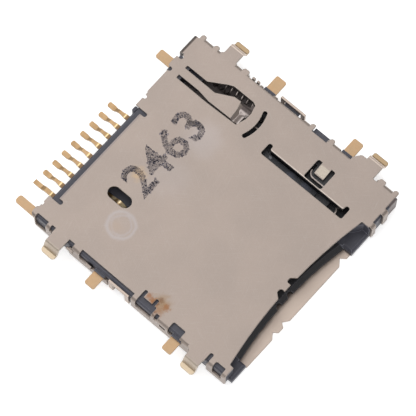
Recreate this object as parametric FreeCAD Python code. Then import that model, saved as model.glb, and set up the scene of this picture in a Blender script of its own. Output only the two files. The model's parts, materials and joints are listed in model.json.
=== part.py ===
import FreeCAD, Part
import math
import os

# Push-push socket for the small 11 mm by 15 mm memory card, sunk into a cut-out of its board.
# Frame: Z is up and 0 is the underside of the bottom plate. Y is the way the card goes in.
# X is across the card, and the slider's side is +X. All lengths are millimetres.

V = FreeCAD.Vector

# Sheet metal and clearances
SHEET = 0.15
BEND = 0.12
TIGHT_BEND = 0.05
SHARP = -1.0
FIT = 0.02
RUNNING_GAP = 0.05

# Memory card
CARD_WIDTH = 11.0
CARD_NOSE_WIDTH = 9.7
CARD_CLEARANCE = 0.10
CARD_STOP_Y = 6.85

# Across the body, from the left
SHELL_LEFT = -8.10
LEFT_RAIL_WIDTH = 1.08
SLIDER_SIDE_GAP = 0.10
RIDGE_WIDTH = 0.65
PIN_FROM_FLANGE = 0.70
SPRING_FROM_PIN = 1.10
SPRING_SIDE_GAP = 0.035
OUTER_WALL = 0.49

# Along the body
FLOOR_LENGTH = 14.35
FRONT_BLOCK_LENGTH = 1.25
REAR_WALL = 0.90
SHELL_REAR_LIP = 0.18
REAR_EDGE_STEP = 0.07
REAR_FOLD_STEP = 0.38
BAY_REAR_STEP = 0.15

# Heights
FLOOR_THICKNESS = 0.45
CARD_OPENING = 1.10
SOLDER_DROP = 0.73
SHELL_WALL_FOOT = 0.30
FRONT_HOOK_FOOT = 0.20

# Mouth
MOUTH_FLARE_LEFT = 0.20
MOUTH_FLARE_RIGHT = 0.96
MOUTH_MIDDLE_RISE = 0.07
MOUTH_LEFT_SETBACK = 0.44
MOUTH_RIGHT_SETBACK = 0.59
LEFT_CORNER_SETBACK = 0.77
MOUTH_TONGUE_OFFSET = -0.24
MOUTH_TONGUE_WIDTH = 0.56
MOUTH_NOTCH_HEIGHT = 0.34
MOUTH_NOTCH_WIDTH = 0.34
MOUTH_NOTCH_SLOPE = 0.30
MOUTH_NOTCH_CORNER = 0.16
FLOOR_NOTCH_OFFSETS = (-1.13, -0.09)
FLOOR_NOTCH_RADIUS = 0.23
FLOOR_FRONT_SETBACK = 0.16
FLOOR_RAMP_LENGTH = 0.30
FLOOR_RAMP_HEIGHT = 0.25

# Rear comb, where the tails come out
COMB_LEFT_MARGIN = 0.27
COMB_RIGHT_MARGIN = 0.93
COMB_SLOT_WIDTH = 0.30
COMB_LEFT_SLOT_DEPTH = 0.38
COMB_RIGHT_SLOT_DEPTH = 0.42
COMB_POST_WIDTH = 0.41
COMB_POST_REACH = 0.19
COMB_FROM_STOP = 0.46

# Contacts
CONTACT_COUNT = 8
CONTACT_SHEET = 0.15
CONTACT_FROM_CARD = 0.90
CONTACT_PITCH = 1.10
CONTACT_WIDTH = 0.38
CONTACT_APEX_FROM_STOP = 2.35
CONTACT_APEX_LIFT = 0.36
CONTACT_BEAM_LENGTH = 1.15
CONTACT_TOE_LENGTH = 0.45
CONTACT_TOE_DROP = 0.28
CONTACT_SLOT_CLEARANCE = 0.05
CONTACT_UNDERSIDE_GAP = 0.15
CONTACT_RISER_FROM_STOP = 0.27
FAN_START_FROM_STOP = 0.10
FAN_LENGTH = 0.80
FAN_ROOT = 0.25

# Tails
TAIL_FROM_CARD = 0.59
TAIL_PITCH = 0.88
TAIL_LENGTH = 1.72
TAIL_FOOT_LENGTH = 0.65
TAIL_STEP_LENGTH = 0.32
TAIL_STEP_HEIGHT = 0.23
TAIL_ROOT_LENGTH = 0.25
TAIL_ROOT_WIDTH = 0.33
TAIL_WAIST_WIDTH = 0.22
TAIL_FOOT_WIDTH = 0.35
TAIL_TIP_CHAMFER = 0.07
DETECT_TAIL_WIDTH = 0.31

# Card switch
SWITCH_BLADE_SHEET = 0.10
SWITCH_BLADE_SETBACK = 0.20
SWITCH_POCKET_LENGTH = 2.15
SWITCH_BEND_FROM_STOP = 0.20
SWITCH_FLOOR_GAP = 0.12
GROUND_TAB_INSET = 0.10
GROUND_TAB_WIDTH = 0.58
GROUND_BLADE_FROM_STOP = 1.70
GROUND_BLADE_LENGTH = 1.30

# Places along the body are spans: those of the rear half count forwards from the rear wall,
# and those of the front half count backwards from the floor's front edge.

# Shell tabs: span, reach past the wall, fillets at the low and high side, corner of the foot
LEFT_REAR_SHELL_TAB = ((1.64, 2.75), 1.24, 0.08, 0.10, 0.24)
RIGHT_REAR_SHELL_TAB = ((1.69, 2.77), 1.43, 0.08, 0.14, 0.14)
LEFT_FRONT_SHELL_TAB = ((0.96, 2.03), 1.11, 0.10, 0.25, 0.22)
RIGHT_FRONT_SHELL_TAB = ((0.74, 1.90), 1.42, 0.08, 0.20, 0.14)
SHELL_TAB_FOOT = 0.36
SHELL_TAB_SLOPE = 0.26
SHELL_TAB_RELIEF = 0.20
RIGHT_SHOULDER_LENGTH = 0.80
RIGHT_SHOULDER_REACH = 0.54

# Flat solder tabs in the plastic: span, and the window over the root (depth, span)
LEFT_REAR_TAB = (5.18, 5.95)
RIGHT_REAR_TAB = (5.19, 6.01)
LEFT_FRONT_TAB = (2.86, 3.59)
RIGHT_FRONT_TAB = (2.73, 3.51)
LEFT_FRONT_TAB_WINDOW = (0.66, (2.98, 3.96))
RIGHT_TAB_WINDOW_DEPTH = 0.17
LEFT_TAB_REACH = 0.99
RIGHT_TAB_REACH = 1.29
GROUND_TAB_REACH = 1.77
REAR_SOLDER_TAB_REACH = 1.66
REAR_TAB_FROM_PIN = -0.54
REAR_TAB_WIDTH = 0.67
REAR_BOSS_DEPTH = 0.34
TAB_ANCHOR_DEPTH = 0.55
TAB_CORNER = 0.13
TAB_WAIST = 0.05
REAR_TAB_CORNER = 0.20
TAB_LIP_LEFT = 0.20
TAB_LIP_RIGHT = 0.34
TAB_LIP_HEIGHT = 0.14

# Windows in the shell's edges: depth from the edge, span and height of the sill
LEFT_REAR_WINDOWS = ((0.37, (0.08, 1.00), 0.50), (0.37, (1.30, 1.60), 1.45), (0.38, (2.76, 3.22), 1.30))
LEFT_FRONT_WINDOWS = (
    (0.62, (5.36, 6.69), 1.00),
    (0.37, (4.87, 5.13), 1.45),
    (0.70, (0.66, 0.92), 1.40),
    (0.50, (-0.47, 0.28), 0.80),
)
RIGHT_REAR_WINDOWS = ((0.18, (3.95, 4.95), 1.05),)
RIGHT_FRONT_WINDOWS = ((0.24, (0.47, 0.74), 1.40),)
WINDOW_CORNER = 0.10
OPEN_SIDE = (3.84, 8.22)
OPEN_SIDE_DEPTH = 0.42
OPEN_SIDE_SILL = 1.05
HOOK_SLOTS = ((6.46, 6.69), (5.54, 5.76))
HOOK_SLOT_DEPTH = 1.08
WALL_HOLE = (4.16, 4.66)
WALL_HOLE_Z = (1.00, 1.45)

# Lances of the side walls, bent outwards: span and height of the tip
LEFT_LANCES = (((2.85, 3.36), 1.52), ((4.50, 4.94), 1.50))
RIGHT_LANCES = (((4.15, 4.36), 1.52), ((4.54, 4.75), 1.52))
LANCE_LEAN = 0.14

# Lugs on the right edge
RIGHT_REAR_LUGS = ((-0.16, 0.20), (0.95, 1.33), (3.39, 3.88))
RIGHT_FRONT_LUGS = ((5.74, 6.09), (4.14, 4.50), (-0.09, 0.40), (-1.15, -0.80))
LUG_REACH = 0.13
LUG_CORNER = 0.11
BOSS = (4.60, 5.74)
BOSS_WINDOW_DEPTH = 0.34
BOSS_REACH = 0.12
BOSS_Z = (0.90, 1.55)

# Slider, spring and cam pin
SLIDER_TRAVEL = 4.20
BAY_FLOOR_TOP = 0.35
BAY_FRONT_STEP = 0.10
PIN_UNDER_SHELL = 0.42
DECK_UNDER_PIN = 0.16
BLOCK_UNDER_SHELL = 0.25
SLIDER_BLOCK_LENGTH = 3.90
SLIDER_BLOCK_FROM_FLANGE = 0.53
SLIDER_BLOCK_CORNER = 0.34
SLIDER_CAM_TAIL = 0.50
SLIDER_RIDGE_HEIGHT = 0.18
ARM_FROM_FRONT = 2.95
ARM_DEPTH = 0.85
ARM_HEIGHT = 0.80
ARM_CORNER = 0.35
SPRING_OUTER_RADIUS = 0.575
SPRING_WIRE_RADIUS = 0.065
SPRING_SPAN = 6.00
SPRING_TURNS = 14
SPRING_RUNS_PER_TURN = 12
SPRING_UNDER_SHELL = 0.75
SPRING_PEG_RADIUS = 0.32
SPRING_PEG_LENGTH = 0.80
PIN_RADIUS = 0.10
PIN_PIVOT_INSET = 0.50
PIN_FROM_SEAT = 0.05
PIN_LEG_DEPTH = 0.30
PIN_SWING = 0.36
CAM_CLEARANCE = 0.03
CAM_DEPTH = 0.34
CAM_RETURN_OFFSET = 0.26
HEART_BACK = 1.55
HEART_FRONT = 0.62

# Leaf spring cut from the shell's top, which holds the cam pin down
LEAF_ROOT_BEHIND_PIVOT = 0.72
LEAF_TIP_BEHIND_FOLLOWER = 1.15
LEAF_TIP_SPAN = (-0.60, 0.44)

# Guide flange, bent down from the shell beside the slider, and its slot
FLANGE_FROM_SLIDER_FRONT = 0.73
FLANGE_FROM_SEAT = 1.62
FLANGE_DEPTH = 0.52
GUIDE_SLOT_WIDTH = 0.57
GUIDE_HOOK_REACH = 0.34
GUIDE_HOOK_WIDTH = 0.32

# Tongue over the slider's block, in its window
TONGUE_FROM_BLOCK_BACK = 0.20
TONGUE_WIDTH = 0.75
TONGUE_WINDOW_FROM_FLANGE = 0.06
TONGUE_FREE_FROM_FLANGE = 0.72
TONGUE_ROOT_FROM_FLANGE = 1.56
TONGUE_MARGIN = 0.34

# Arc slot over the follower end of the cam pin, and the oval window
ARC_RADIUS = 2.60
ARC_FROM_PIN = 0.04
ARC_SLOT_WIDTH = 0.30
ARC_HALF_ANGLE = 23.0
OVAL_CENTRE_FROM_CARD = 3.20
OVAL_LENGTH = 1.80
OVAL_WIDTH = 0.86

# Bottom plate with its snap ears
LEFT_EAR = (6.33, 8.00)
RIGHT_EAR = (6.46, 8.45)
LEFT_EAR_DROP = 0.30
RIGHT_EAR_DROP = 0.17
RIGHT_EAR_GAP = 0.15
RIGHT_EAR_WINDOW_DEPTH = 0.16
EAR_BAR = 0.28
EAR_LEG_WIDTH = 0.32
EAR_POCKET = 0.20
CATCH_HEIGHT = 0.22
PLATE_FRONT_SETBACK = 1.08
PLATE_LEFT_MARGIN = 0.55
PLATE_RIGHT_MARGIN = 0.73
PLATE_TONGUE_OFFSET = 3.25
PLATE_NOTCH_INSET = 0.59
PLATE_NOTCH_HEIGHT = 0.32
PLATE_NOTCH_SLOPE = 0.42
PLATE_NOTCH_STEEP = 0.23
PLATE_TONGUE_HALF = 0.21

# Card lock leaf on the slider
LOCK_SHEET = 0.10
LOCK_HEIGHT = 0.40
LOCK_FOOT_GAP = 0.06
LOCK_PROUD = 0.05
LOCK_HOOK = 0.42
LOCK_ANCHOR_FROM_FRONT = (1.75, 2.45)
LOCK_NOSE_FROM_FRONT = 0.75

# Worked out from the sizes above
HOUSING_LEFT = SHELL_LEFT + SHEET + FIT
CHANNEL_LEFT = HOUSING_LEFT + LEFT_RAIL_WIDTH
CARD_LEFT = CHANNEL_LEFT + CARD_CLEARANCE
NOSE_RIGHT = CARD_LEFT + CARD_NOSE_WIDTH
CHANNEL_RIGHT = CARD_LEFT + CARD_WIDTH + CARD_CLEARANCE
SLIDER_LEFT = CHANNEL_RIGHT + SLIDER_SIDE_GAP
FLANGE_X = SLIDER_LEFT + RIDGE_WIDTH + RUNNING_GAP
PIN_X = FLANGE_X + PIN_FROM_FLANGE
SPRING_X = PIN_X + SPRING_FROM_PIN
BAY_RIGHT = SPRING_X + SPRING_OUTER_RADIUS + SPRING_SIDE_GAP
HOUSING_RIGHT = BAY_RIGHT + OUTER_WALL
SHELL_RIGHT = HOUSING_RIGHT + FIT + SHEET
SLIDER_RIGHT = BAY_RIGHT - RUNNING_GAP
BLOCK_LEFT = FLANGE_X + SLIDER_BLOCK_FROM_FLANGE
MOUTH_LEFT = CHANNEL_LEFT - MOUTH_FLARE_LEFT
MOUTH_RIGHT = CHANNEL_RIGHT + MOUTH_FLARE_RIGHT
MOUTH_MIDDLE_X = (MOUTH_LEFT + MOUTH_RIGHT) / 2
PLATE_LEFT_FRONT = CHANNEL_LEFT + PLATE_LEFT_MARGIN
PLATE_RIGHT_FRONT = CHANNEL_RIGHT - PLATE_RIGHT_MARGIN
TAIL_FIRST_X = CARD_LEFT + TAIL_FROM_CARD
COMB_LEFT = TAIL_FIRST_X - COMB_LEFT_MARGIN
COMB_RIGHT = TAIL_FIRST_X + TAIL_PITCH * CONTACT_COUNT + COMB_RIGHT_MARGIN
GROUND_TAB_X = (SHELL_LEFT + GROUND_TAB_INSET, SHELL_LEFT + GROUND_TAB_INSET + GROUND_TAB_WIDTH)
REAR_TAB_X = (PIN_X + REAR_TAB_FROM_PIN, PIN_X + REAR_TAB_FROM_PIN + REAR_TAB_WIDTH)

FLOOR_FRONT = CARD_STOP_Y - FLOOR_LENGTH
HOUSING_FRONT = FLOOR_FRONT - FRONT_BLOCK_LENGTH
SHELL_FRONT = HOUSING_FRONT + BEND
BAY_FRONT = FLOOR_FRONT + BAY_FRONT_STEP
BAY_BACK = CARD_STOP_Y + BAY_REAR_STEP
REAR_WALL_Y = CARD_STOP_Y + REAR_WALL
SHELL_BACK = REAR_WALL_Y + SHELL_REAR_LIP
COMB_CUT_Y = CARD_STOP_Y + COMB_FROM_STOP
MOUTH_MIDDLE_Y = FLOOR_FRONT + MOUTH_MIDDLE_RISE
MOUTH_LEFT_Y = FLOOR_FRONT - MOUTH_LEFT_SETBACK
MOUTH_RIGHT_Y = FLOOR_FRONT - MOUTH_RIGHT_SETBACK
LEFT_CORNER_Y = FLOOR_FRONT - LEFT_CORNER_SETBACK
PLATE_FRONT = FLOOR_FRONT - PLATE_FRONT_SETBACK
SLIDER_FRONT = BAY_FRONT + RUNNING_GAP
SLIDER_SEAT_Y = BAY_BACK - SPRING_SPAN
SLIDER_CAM_BACK = SLIDER_SEAT_Y + SLIDER_CAM_TAIL
SLIDER_BLOCK_BACK = SLIDER_FRONT + SLIDER_BLOCK_LENGTH
ARM_FACE_Y = SLIDER_FRONT + ARM_FROM_FRONT
PIN_PIVOT_Y = BAY_BACK - PIN_PIVOT_INSET
PIN_FOLLOWER_Y = SLIDER_SEAT_Y + PIN_FROM_SEAT
LEAF_ROOT_Y = PIN_PIVOT_Y + LEAF_ROOT_BEHIND_PIVOT
LEAF_TIP_Y = PIN_FOLLOWER_Y + LEAF_TIP_BEHIND_FOLLOWER
ARC_CENTRE_Y = PIN_FOLLOWER_Y + ARC_RADIUS + ARC_FROM_PIN
FLANGE_Y = (SLIDER_FRONT + FLANGE_FROM_SLIDER_FRONT, SLIDER_SEAT_Y - FLANGE_FROM_SEAT)
TONGUE_HIGH = SLIDER_BLOCK_BACK - TONGUE_FROM_BLOCK_BACK
TONGUE_Y = (TONGUE_HIGH - TONGUE_WIDTH, TONGUE_HIGH)
CONTACT_APEX_Y = CARD_STOP_Y - CONTACT_APEX_FROM_STOP
CONTACT_RISER_Y = CARD_STOP_Y + CONTACT_RISER_FROM_STOP
FAN_START_Y = CARD_STOP_Y - FAN_START_FROM_STOP
FAN_END_Y = FAN_START_Y - FAN_LENGTH
TAIL_TIP_Y = REAR_WALL_Y + TAIL_LENGTH
GROUND_TAB_TIP = REAR_WALL_Y + GROUND_TAB_REACH

FLOOR_TOP = SHEET + FLOOR_THICKNESS
SHELL_UNDER = FLOOR_TOP + CARD_OPENING
TOTAL_HEIGHT = SHELL_UNDER + SHEET
SHELL_MID_Z = TOTAL_HEIGHT - SHEET / 2
SOLDER_Z = TOTAL_HEIGHT - SOLDER_DROP
HOUSING_TOP = SHELL_UNDER - FIT
PIN_SHANK_Z = SHELL_UNDER - PIN_UNDER_SHELL
SLIDER_DECK_Z = PIN_SHANK_Z - DECK_UNDER_PIN
SLIDER_BLOCK_Z = SHELL_UNDER - BLOCK_UNDER_SHELL
SLIDER_FOOT_Z = BAY_FLOOR_TOP + RUNNING_GAP
SPRING_Z = SHELL_UNDER - SPRING_UNDER_SHELL
FLANGE_FOOT_Z = SHELL_UNDER - FLANGE_DEPTH
LOCK_FOOT_Z = FLOOR_TOP + LOCK_FOOT_GAP
FOOT_MID_Z = SOLDER_Z + CONTACT_SHEET / 2
EXIT_MID_Z = FOOT_MID_Z + TAIL_STEP_HEIGHT
BEAM_MID_Z = SHEET + CONTACT_UNDERSIDE_GAP + CONTACT_SHEET / 2
TAB_Z = (SOLDER_Z, SOLDER_Z + SHEET)
TAB_SLOT_Z = (SOLDER_Z - FIT, SOLDER_Z + SHEET + FIT)
TOP_CUT = (SHELL_UNDER - 0.1, TOTAL_HEIGHT + 0.1)
FAR = 20.0


def box(x, y, z):
    """Block between the given (low, high) pairs."""
    return Part.makeBox(x[1] - x[0], y[1] - y[0], z[1] - z[0], V(x[0], y[0], z[0]))


def rounded_wire(corners):
    """Closed wire through (point, radius) corners; a radius above zero makes a tangent arc."""
    spans = []
    arcs = []
    count = len(corners)
    for index, (point, radius) in enumerate(corners):
        before = (corners[index - 1][0] - point).normalize()
        after = (corners[(index + 1) % count][0] - point).normalize()
        if radius <= 0:
            spans.append((point, point))
            arcs.append(None)
            continue
        half = before.getAngle(after) / 2
        reach = radius / math.tan(half)
        start = point + before * reach
        end = point + after * reach
        middle = point + (before + after).normalize() * (radius / math.sin(half) - radius)
        spans.append((start, end))
        arcs.append(Part.Arc(start, middle, end).toShape())
    edges = []
    for index in range(count):
        if arcs[index] is not None:
            edges.append(arcs[index])
        start = spans[index][1]
        end = spans[(index + 1) % count][0]
        if (end - start).Length > 1e-6:
            edges.append(Part.LineSegment(start, end).toShape())
    return Part.Wire(edges)


def outline_face(points, place, radius):
    """Face inside points given as (u, v) or (u, v, radius); place puts u and v into space."""
    corners = []
    for point in points:
        own_radius = point[2] if len(point) > 2 else radius
        corners.append((place(point[0], point[1]), own_radius))
    return Part.Face(rounded_wire(corners))


def plan(points, z, radius=0.0):
    """Outline of (x, y) points raised between two heights."""
    face = outline_face(points, lambda x, y: V(x, y, z[0]), radius)
    return face.extrude(V(0, 0, z[1] - z[0]))


def side_view(points, x, radius=0.0):
    """Outline of (y, z) points drawn out between two x."""
    face = outline_face(points, lambda y, z: V(x[0], y, z), radius)
    return face.extrude(V(x[1] - x[0], 0, 0))


def front_view(points, y, radius=0.0):
    """Outline of (x, z) points drawn out between two y."""
    face = outline_face(points, lambda x, z: V(x, y[0], z), radius)
    return face.extrude(V(0, y[1] - y[0], 0))


def unit(start, end):
    """Unit direction between two points."""
    run = end[0] - start[0]
    rise = end[1] - start[1]
    length = math.hypot(run, rise)
    return run / length, rise / length


def ribbon(path, thickness, bend):
    """Corners (u, v, radius) round a strip of even thickness that follows a path at mid thickness."""
    left = []
    right = []
    last = len(path) - 1
    for index, point in enumerate(path):
        first = unit(path[max(index - 1, 0)], path[max(index, 1)])
        second = unit(path[min(index, last - 1)], path[min(index + 1, last)])
        turn = first[0] * second[1] - first[1] * second[0]
        scale = thickness / 2 / (1 + first[0] * second[0] + first[1] * second[1])
        off_u = -(first[1] + second[1]) * scale
        off_v = (first[0] + second[0]) * scale
        straight = index in (0, last) or abs(turn) < 1e-6
        inner = point[2] if len(point) > 2 else bend
        outer = inner + thickness
        if straight or inner < 0:
            inner = 0
            outer = 0
        left.append((point[0] + off_u, point[1] + off_v, inner if turn > 0 else outer))
        right.append((point[0] - off_u, point[1] - off_v, outer if turn > 0 else inner))
    return left + right[::-1]


def strip_along_y(path, thickness, bend, x):
    """Bent sheet whose path of (y, z) points is drawn out between two x."""
    return side_view(ribbon(path, thickness, bend), x)


def strip_along_x(path, thickness, bend, y):
    """Bent sheet whose path of (x, z) points is drawn out between two y."""
    return front_view(ribbon(path, thickness, bend), y)


def upright_blade(path, thickness, bend, z):
    """Strip standing on edge that follows a path of (x, y) points."""
    return plan(ribbon(path, thickness, bend), z)


def obround(centre, length, width, z):
    """Slot with round ends, long in Y."""
    x, y = centre
    half = length / 2
    side = width / 2
    points = [
        (x - side, y - half),
        (x + side, y - half),
        (x + side, y + half),
        (x - side, y + half),
    ]
    return plan(points, z, side - 0.001)


def upright(x, y, radius, z):
    """Upright round bar."""
    return Part.makeCylinder(radius, z[1] - z[0], V(x, y, z[0]))


def lengthwise(x, z, radius, y):
    """Round bar along Y."""
    return Part.makeCylinder(radius, y[1] - y[0], V(x, y[0], z), V(0, 1, 0))


def fuse(shapes):
    """One clean solid from overlapping shapes."""
    return shapes[0].multiFuse(shapes[1:]).removeSplitter()


def tail_x(index):
    """Middle of a tail, counted from the detect tail."""
    return TAIL_FIRST_X + TAIL_PITCH * index


def contact_x(index):
    """Middle of a contact beam."""
    return CARD_LEFT + CONTACT_FROM_CARD + CONTACT_PITCH * index


def from_rear(span):
    """Low and high Y of a span given as distances forward of the rear wall."""
    return REAR_WALL_Y - span[1], REAR_WALL_Y - span[0]


def from_front(span):
    """Low and high Y of a span given as distances behind the floor's front edge."""
    return FLOOR_FRONT + span[0], FLOOR_FRONT + span[1]


def side_tabs():
    """Each flat solder tab in the sides by name: its side and its stretch in Y."""
    return {
        "left_rear_solder_tab": (-1, from_rear(LEFT_REAR_TAB)),
        "left_front_solder_tab": (-1, from_front(LEFT_FRONT_TAB)),
        "right_rear_solder_tab": (1, from_rear(RIGHT_REAR_TAB)),
        "right_front_solder_tab": (1, from_front(RIGHT_FRONT_TAB)),
    }


def shell_tabs():
    """Each bent shell tab: its side, stretch in Y, reach, fillets and foot corner."""
    return [
        (-1, from_rear(LEFT_REAR_SHELL_TAB[0])) + LEFT_REAR_SHELL_TAB[1:],
        (1, from_rear(RIGHT_REAR_SHELL_TAB[0])) + RIGHT_REAR_SHELL_TAB[1:],
        (-1, from_front(LEFT_FRONT_SHELL_TAB[0])) + LEFT_FRONT_SHELL_TAB[1:],
        (1, from_front(RIGHT_FRONT_SHELL_TAB[0])) + RIGHT_FRONT_SHELL_TAB[1:],
    ]


def ears():
    """Each snap ear of the plate: its side, stretch in Y and top."""
    return [
        (-1, from_rear(LEFT_EAR), TOTAL_HEIGHT - LEFT_EAR_DROP),
        (1, from_rear(RIGHT_EAR), TOTAL_HEIGHT - RIGHT_EAR_DROP),
    ]


def shell_wall(side):
    """Outer face of the shell's left (-1) or right (+1) wall."""
    return SHELL_LEFT if side < 0 else SHELL_RIGHT


def plastic_wall(side):
    """Outer face of the plastic's left (-1) or right (+1) side."""
    return HOUSING_LEFT if side < 0 else HOUSING_RIGHT


def shell_body():
    """Top and side walls as one folded sheet, trimmed to the outline of the top."""
    lug = 0.28
    corner_lug = 0.12
    step = 0.09
    path = [
        (SHELL_LEFT + SHEET / 2, SHELL_WALL_FOOT),
        (SHELL_LEFT + SHEET / 2, SHELL_MID_Z),
        (SHELL_RIGHT - SHEET / 2, SHELL_MID_Z),
        (SHELL_RIGHT - SHEET / 2, SHELL_WALL_FOOT),
    ]
    folded = strip_along_x(path, SHEET, BEND, (SHELL_FRONT, SHELL_BACK + lug))
    left_slot_y = COMB_CUT_Y - COMB_LEFT_SLOT_DEPTH
    right_slot_y = COMB_CUT_Y - COMB_RIGHT_SLOT_DEPTH
    slot_end = COMB_SLOT_WIDTH / 2 - 0.01
    fold_start = REAR_TAB_X[1] + 0.45
    outline = [
        (SHELL_LEFT, SHELL_BACK + corner_lug, 0.30),
        (GROUND_TAB_X[1], SHELL_BACK + corner_lug),
        (GROUND_TAB_X[1] + 0.06, SHELL_BACK),
        (GROUND_TAB_X[1] + 0.24, SHELL_BACK),
        (GROUND_TAB_X[1] + 0.28, SHELL_BACK - step),
        (GROUND_TAB_X[1] + 0.46, SHELL_BACK - step),
        (GROUND_TAB_X[1] + 0.50, SHELL_BACK),
        (COMB_LEFT, SHELL_BACK),
        (COMB_LEFT, left_slot_y, slot_end),
        (COMB_LEFT + COMB_SLOT_WIDTH, left_slot_y, slot_end),
        (COMB_LEFT + COMB_SLOT_WIDTH, COMB_CUT_Y),
        (COMB_RIGHT - COMB_SLOT_WIDTH, COMB_CUT_Y),
        (COMB_RIGHT - COMB_SLOT_WIDTH, right_slot_y, slot_end),
        (COMB_RIGHT, right_slot_y, slot_end),
        (COMB_RIGHT, SHELL_BACK),
        (COMB_RIGHT + 1.16, SHELL_BACK),
        (COMB_RIGHT + 1.18, SHELL_BACK + REAR_EDGE_STEP),
        (REAR_TAB_X[0] - 0.06, SHELL_BACK + REAR_EDGE_STEP),
        (REAR_TAB_X[0] - 0.06, SHELL_BACK + lug, 0.08),
        (REAR_TAB_X[1] + 0.10, SHELL_BACK + lug, 0.08),
        (REAR_TAB_X[1] + 0.14, SHELL_BACK),
        (fold_start, SHELL_BACK),
        (fold_start + 0.05, SHELL_BACK - 0.05),
        (SHELL_RIGHT, SHELL_BACK - 0.05, 0.14),
        (SHELL_RIGHT, SHELL_FRONT, 0.10),
        (MOUTH_RIGHT, SHELL_FRONT),
        (MOUTH_RIGHT, MOUTH_RIGHT_Y),
        (MOUTH_LEFT, MOUTH_LEFT_Y),
        (MOUTH_LEFT - 0.16, MOUTH_LEFT_Y, 0.10),
        (MOUTH_LEFT - 0.20, LEFT_CORNER_Y),
        (SHELL_LEFT, LEFT_CORNER_Y, 0.10),
    ]
    trimmed = folded.common(plan(outline, (0, TOTAL_HEIGHT + 1)))
    notches = [
        upright(COMB_RIGHT + 0.80, SHELL_BACK - 0.05, 0.15, TOP_CUT),
        upright(REAR_TAB_X[0] - 0.20, SHELL_BACK + 0.02, 0.15, TOP_CUT),
        upright(REAR_TAB_X[1] + 0.24, SHELL_BACK, 0.15, TOP_CUT),
    ]
    return trimmed.cut(notches)


def mouth_notch(inner_x, side):
    """Notch in the mouth's edge: steep towards the tongue between the two, sloped away from it."""
    low = MOUTH_MIDDLE_Y - 0.30
    high = MOUTH_MIDDLE_Y + MOUTH_NOTCH_HEIGHT
    outer_x = inner_x + side * MOUTH_NOTCH_WIDTH
    foot_x = outer_x + side * MOUTH_NOTCH_SLOPE
    points = [
        (inner_x, low),
        (inner_x, high, MOUTH_NOTCH_CORNER),
        (outer_x, high, MOUTH_NOTCH_CORNER),
        (foot_x, MOUTH_MIDDLE_Y - 0.01),
        (foot_x, low),
    ]
    return plan(points, TOP_CUT)


def mouth_cutter():
    """Curved front edge of the top with its two notches and the tongue between them."""
    z = (SHELL_UNDER - 0.05, TOTAL_HEIGHT + 1)
    left = V(MOUTH_LEFT, MOUTH_LEFT_Y, z[0])
    middle = V(MOUTH_MIDDLE_X, MOUTH_MIDDLE_Y, z[0])
    right = V(MOUTH_RIGHT, MOUTH_RIGHT_Y, z[0])
    front_right = V(MOUTH_RIGHT, SHELL_FRONT - 1, z[0])
    front_left = V(MOUTH_LEFT, SHELL_FRONT - 1, z[0])
    edges = [
        Part.Arc(left, middle, right).toShape(),
        Part.LineSegment(right, front_right).toShape(),
        Part.LineSegment(front_right, front_left).toShape(),
        Part.LineSegment(front_left, left).toShape(),
    ]
    opening = Part.Face(Part.Wire(edges)).extrude(V(0, 0, z[1] - z[0]))
    tongue_x = MOUTH_MIDDLE_X + MOUTH_TONGUE_OFFSET
    notches = [mouth_notch(tongue_x + side * MOUTH_TONGUE_WIDTH / 2, side) for side in (-1, 1)]
    return [opening] + notches


def leaf_window():
    """Gap round the leaf spring: the window less the leaf itself."""
    root = LEAF_ROOT_Y
    tip = LEAF_TIP_Y
    x = PIN_X
    window = [
        (x - 0.92, root),
        (x - 0.94, tip + 2.40),
        (x - 0.85, tip),
        (x - 0.12, tip - 0.23),
        (x + 0.38, tip - 0.24),
        (x + 0.95, tip - 0.09),
        (x + 1.07, tip + 0.16),
        (x + 1.07, tip + 1.82),
        (x + 0.92, tip + 2.15),
        (x + 0.18, tip + 3.35),
        (x + 0.18, root),
    ]
    leaf = [
        (x - 0.65, root + 0.10),
        (x - 0.65, root - 1.67),
        (x - 0.79, tip + 2.40),
        (x - 0.76, tip + 0.55),
        (x - 0.03, tip + 0.61),
        (x + 0.57, tip + 0.78),
        (x + 0.54, tip + 1.30),
        (x - 0.08, tip + 2.45),
        (x - 0.06, root - 0.52),
        (x - 0.06, root + 0.10),
    ]
    return plan(window, TOP_CUT, 0.07).cut(plan(leaf, TOP_CUT))


def leaf_tip():
    """End of the leaf spring, dipped onto the cam pin and turned up again."""
    dip_z = PIN_SHANK_Z + PIN_RADIUS + FIT + SHEET / 2
    path = [
        (LEAF_TIP_Y + 1.15, SHELL_MID_Z),
        (LEAF_TIP_Y + 0.72, SHELL_MID_Z),
        (LEAF_TIP_Y + 0.36, dip_z),
        (LEAF_TIP_Y + 0.02, dip_z + 0.16),
    ]
    return strip_along_y(path, SHEET, 0.10, (PIN_X + LEAF_TIP_SPAN[0], PIN_X + LEAF_TIP_SPAN[1]))


def arc_slot():
    """Curved slot with round ends over the follower end of the cam pin."""
    centre = V(PIN_X - 0.04, ARC_CENTRE_Y, TOP_CUT[0])
    half_width = ARC_SLOT_WIDTH / 2
    height = TOP_CUT[1] - TOP_CUT[0]
    ring = Part.makeCylinder(ARC_RADIUS + half_width, height, centre)
    ring = ring.cut(Part.makeCylinder(ARC_RADIUS - half_width, height, centre))
    reach = ARC_RADIUS * 2
    wedge_points = [(centre.x, centre.y)]
    ends = []
    for sign in (-1, 1):
        angle = math.radians(-90 + sign * ARC_HALF_ANGLE)
        wedge_points.append((centre.x + reach * math.cos(angle), centre.y + reach * math.sin(angle)))
        end_x = centre.x + ARC_RADIUS * math.cos(angle)
        end_y = centre.y + ARC_RADIUS * math.sin(angle)
        ends.append(upright(end_x, end_y, half_width, TOP_CUT))
    sector = ring.common(plan(wedge_points, TOP_CUT))
    return fuse([sector] + ends)


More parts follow.
